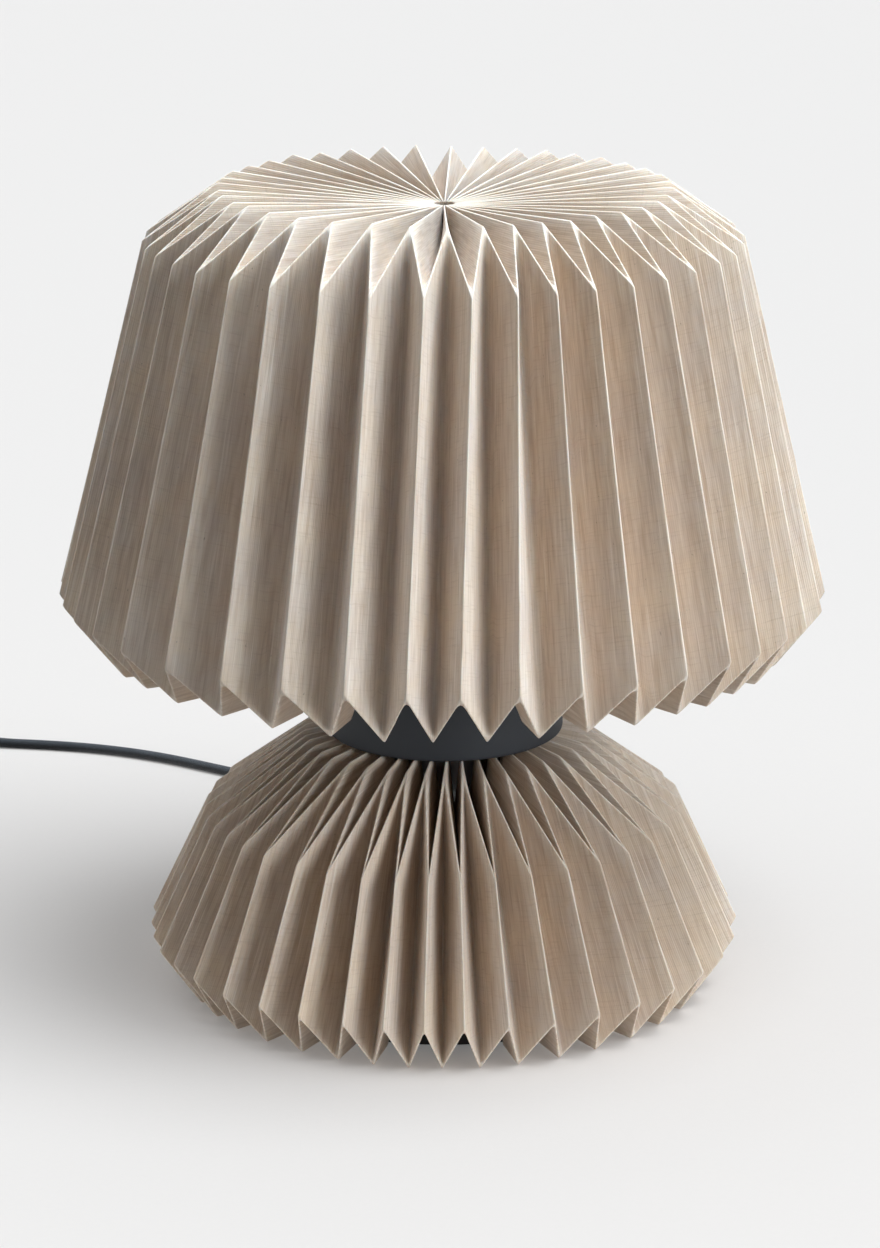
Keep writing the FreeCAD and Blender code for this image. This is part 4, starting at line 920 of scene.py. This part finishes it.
keepNode("pleat_seat", zincPlate)
keepNode("nipple", turnedBrass)
keepNode("lock_nut", turnedBrass)
keepNode("holder_cap", mouldedBlack)
keepNode("holder_insert", glazedPorcelain)
keepNode("holder_contact", turnedBrass)
keepNode("ring_lower", mouldedBlack)
keepNode("ring_upper", mouldedBlack)
keepNode("bulb_contact", nickelPlate)
keepNode("bulb_insulator", darkVitrite)
keepNode("led_board", boardWhite)


def threadRipple(pitch, deep):
    # a rolled thread: the wall goes in and out once per pitch, along a helix
    def ripple(height, turn):
        return -deep * (0.5 - 0.5 * np.cos(2 * np.pi * height / pitch - turn))

    return ripple


def heights(low, high, step):
    return np.linspace(low, high, max(2, int(round((high - low) / step)) + 1))


# Lampholder

low, high = nodeBox("holder_body")
skirt = {"radius": high[0], "bore": 14.7, "pitch": 2.5, "deep": 0.7}
outer = [(skirt["radius"], z) for z in heights(low[2] + 2, high[2] - 2, 0.25)]
skirtGrid = turnedGrid(outer, 96, ripple=threadRipple(skirt["pitch"], skirt["deep"]))
plainSkirt = [
    (skirt["radius"], low[2] + 2), (skirt["radius"], low[2]), (skirt["bore"], low[2]),
    (skirt["bore"], high[2]), (skirt["radius"] - 0.4, high[2]), (skirt["radius"] - 0.4, high[2] - 2),
]
makePiece(
    "holderSkirt", [skirtGrid, turnedGrid(rounded(plainSkirt, 0.4, 3), 96)], mouldedBlack,
    replaces=["holder_body"], closed=False,
)
low, high = nodeBox("holder_shell")
shellWall = {"radius": high[0], "wall": 0.5, "pitch": 3.629, "deep": 0.5}
shellLevels = heights(low[2], high[2], 0.3)
shellOut = np.array([(shellWall["radius"], z) for z in shellLevels])
shellIn = np.array([(shellWall["radius"] - shellWall["wall"], z) for z in shellLevels[::-1]])
shellProfile = np.concatenate([shellOut, shellIn, shellOut[:1]])
makePiece(
    "holderShell",
    [turnedGrid(shellProfile, 72, ripple=threadRipple(shellWall["pitch"], shellWall["deep"]))],
    turnedBrass, replaces=["holder_shell"],
)


# Shade carrier

print("bending the carrier")
low, high = nodeBox("shade_carrier")
carrier = {
    "wire": 2.0, "hoop": high[0] - 2.0, "hoopLevel": high[2] - 2.0, "washer": 28.0, "bore": 19.55,
    "washerThick": 2.0, "knee": 36.0, "arms": 4, "bend": 8.0,
}
washerTop = low[2] + 1.0 + carrier["washerThick"]
armLevel = washerTop - carrier["washerThick"] / 2
hoopTurn = np.linspace(0, 2 * np.pi, 193)
hoopLine = np.stack([carrier["hoop"] * np.cos(hoopTurn), carrier["hoop"] * np.sin(hoopTurn),
                     np.full(193, carrier["hoopLevel"])], axis=1)
washerProfile = rounded(
    [
        (carrier["bore"], armLevel - 1), (carrier["washer"], armLevel - 1),
        (carrier["washer"], armLevel + 1), (carrier["bore"], armLevel + 1), (carrier["bore"], armLevel - 1),
    ],
    0.3, 3,
)
carrierGrids = [tubeGrid(hoopLine, carrier["wire"], 16), turnedGrid(washerProfile, 72)]
armProfile = np.array([(carrier["washer"] - 4, 0, armLevel), (carrier["knee"], 0, armLevel),
                       (carrier["hoop"], 0, carrier["hoopLevel"])])
armLine = rounded(armProfile, carrier["bend"], 9, 12)
for k in range(carrier["arms"]):
    turn = 45 + 360 * k / carrier["arms"]
    points, uv, marks = tubeGrid(armLine, carrier["wire"], 16, (0, 1, 0))
    carrierGrids.append((placed(points, (0, 0, 0), turn), uv, marks))
makePiece(
    "shadeCarrier", carrierGrids, powderWhite, replaces=["shade_carrier"],
    closed=False,
)


# Bulb

print("blowing the bulb")
low, high = nodeBox("bulb_cap")
cap = {"radius": high[0], "pitch": 3.629, "deep": 0.75, "bottom": low[2], "top": high[2]}
capLevels = heights(cap["bottom"] + 1.5, cap["top"] - 2.0, 0.3)
capThread = turnedGrid([(cap["radius"], z) for z in capLevels], 96,
                       ripple=threadRipple(cap["pitch"], cap["deep"]))
capFoot = [(0, cap["bottom"] + 0.4), (cap["radius"] - 1.7, cap["bottom"]), (cap["radius"] - 0.4, cap["bottom"] + 1.5)]
capRim = [(cap["radius"] - 0.4, cap["top"] - 2.0), (cap["radius"], cap["top"] - 1.6), (cap["radius"], cap["top"]),
          (cap["radius"] - 1, cap["top"])]
makePiece(
    "bulbCap", [capThread, turnedGrid(rounded(capFoot, 0.6, 4), 96), turnedGrid(rounded(capRim, 0.4, 4), 96)],
    nickelPlate, "bulb", ["bulb_cap"], closed=False,
)
low, high = nodeBox("bulb_housing")
housing = {"bottom": low[2], "top": high[2], "neck": 14.0, "seam": high[0], "wall": 1.3}
housingProfile = rounded(
    [
        (housing["neck"] - housing["wall"], housing["bottom"]), (housing["neck"], housing["bottom"]),
        (housing["neck"] + 0.3, housing["bottom"] + 4),
        (housing["seam"] - 4.2, housing["top"] - 14), (housing["seam"], housing["top"]),
        (housing["seam"] - housing["wall"], housing["top"]),
        (housing["neck"] - housing["wall"], housing["bottom"] + 6),
        (housing["neck"] - housing["wall"], housing["bottom"]),
    ],
    4, 6, 3,
)
makePiece(
    "bulbHousing", [turnedGrid(housingProfile, 96)], mouldedWhite, "bulb", ["bulb_housing"],
)
low, high = nodeBox("bulb_globe")
globe = {"radius": high[0], "centre": high[2] - high[0], "wall": 1.3, "seam": low[2]}
seamAngle = -math.asin((globe["centre"] - globe["seam"]) / globe["radius"])
globeAngle = np.linspace(seamAngle, np.pi / 2, 40)
globeOut = np.stack([np.cos(globeAngle), np.sin(globeAngle)], axis=1) * globe["radius"]
globeIn = globeOut[::-1] * (1 - globe["wall"] / globe["radius"])
globeProfile = np.concatenate([globeOut, globeIn, globeOut[:1]]) + (0, globe["centre"])
makePiece("bulbGlobe", [turnedGrid(globeProfile, 96)], opalShell, "bulb", ["bulb_globe"])


# Studio

studio = {
    "paper": ("#e7e7e7", "#e5e5e5"),
    "near": 420,  # radius of the paper whose bounce reaches the lamp
    "far": 9000,
    "world": 0.05,
}
box = {"place": (510.0, -530.0, 390.0), "aim": (0.0, -60.0, 170.0), "size": 380.0, "power": 3.0}
suns = {
    # way to the light, strength, spread in degrees, colour, and what it lights
    "lampKey": ((1.0, -0.8, 0.5), 1.1, 36, "#eff7ff", "lamp"),
    "lampTop": ((0.22, 0.15, 1.0), 7.0, 30, "#dff0ff", "lamp"),
    "lampFill": ((-1.0, -0.5, 0.2), 1.1, 50, "#eff7ff", "lamp"),
    "lampBack": ((-0.3, 1.0, 0.4), 1.3, 70, "#eff7ff", "lamp"),
    "paperKey": ((1.0, -0.3, 0.45), 1.15, 45, "#ffffff", "paper"),
    "paperTop": ((0.3, -0.2, 1.0), 1.4, 45, "#ffffff", "paper"),
    "paperWash": ((0.0, 0.0, 1.0), 1.0, 100, "#ffffff", "paper"),
    "paperLift": ((0.0, 0.0, 1.0), 0.6, 0, "#ffffff", "paper"),
}

print("lighting")
paperMaterial, paperTree = newMaterial("mattPaper")
paperGrain = grain(paperTree, objectPlace(paperTree), 3.0)
paperColour = mixed(paperTree, paperGrain, *(srgb(code) for code in studio["paper"]))
finishMaterial(paperMaterial, paperTree, paperColour, None, 0, Roughness=0.9, Specular_IOR_Level=0.1)
paperTurn = np.linspace(0, 2 * np.pi, 97)[:-1]
paperRing = np.stack([np.cos(paperTurn), np.sin(paperTurn), 0 * paperTurn], axis=1)
paperPieces = []
for name, inner, outer in (("paperNear", 0, studio["near"]), ("paperFar", studio["near"], studio["far"])):
    # the far paper gives no bounce, as a table top in a dark room would
    count = len(paperRing)
    corners = np.concatenate([paperRing * inner, paperRing * outer]) * mm
    faces = [(k, (k + 1) % count, count + (k + 1) % count, count + k) for k in range(count)]
    if not inner:
        faces = [tuple(range(count, 2 * count))]
    paperMesh = bpy.data.meshes.new(name)
    paperMesh.from_pydata(corners.tolist(), [], faces)
    paperMesh.materials.append(paperMaterial)
    paperPiece = bpy.data.objects.new(name, paperMesh)
    paperPiece.visible_diffuse = inner == 0
    bpy.context.scene.collection.objects.link(paperPiece)
    paperPieces.append(paperPiece)

def hangLight(name, kind, way, target):
    # a light that shines against way, on the paper alone or on all but the paper
    data = bpy.data.lights.new(name, kind)
    light = bpy.data.objects.new(name, data)
    light.rotation_mode = "QUATERNION"
    light.rotation_quaternion = Vector([-part for part in way]).to_track_quat("-Z", "Y")
    bpy.context.scene.collection.objects.link(light)
    reach = bpy.data.collections.new(name + "Reach")
    for piece in paperPieces:
        reach.objects.link(piece)
    light.light_linking.receiver_collection = reach
    for member in reach.collection_objects:
        member.light_linking.link_state = "INCLUDE" if target == "paper" else "EXCLUDE"
    return light


softBox = hangLight("softBox", "AREA", np.subtract(box["place"], box["aim"]).tolist(), "lamp")
softBox.location = [length * mm for length in box["place"]]
softBox.data.energy = box["power"]
softBox.data.size = box["size"] * mm
softBox.data.color = srgb("#eff7ff")[:3]
for name, (way, strength, spread, colour, target) in suns.items():
    sun = hangLight(name, "SUN", way, target)
    sun.data.energy = strength
    sun.data.color = srgb(colour)[:3]
    sun.data.use_shadow = spread > 0
    sun.data.angle = math.radians(spread)
world = bpy.data.worlds.new("studio")
world.use_nodes = True
world.node_tree.nodes["Background"].inputs["Color"].default_value = srgb("#f4f5f7")
world.node_tree.nodes["Background"].inputs["Strength"].default_value = studio["world"]
bpy.context.scene.world = world
bpy.context.scene.view_settings.view_transform = "Standard"
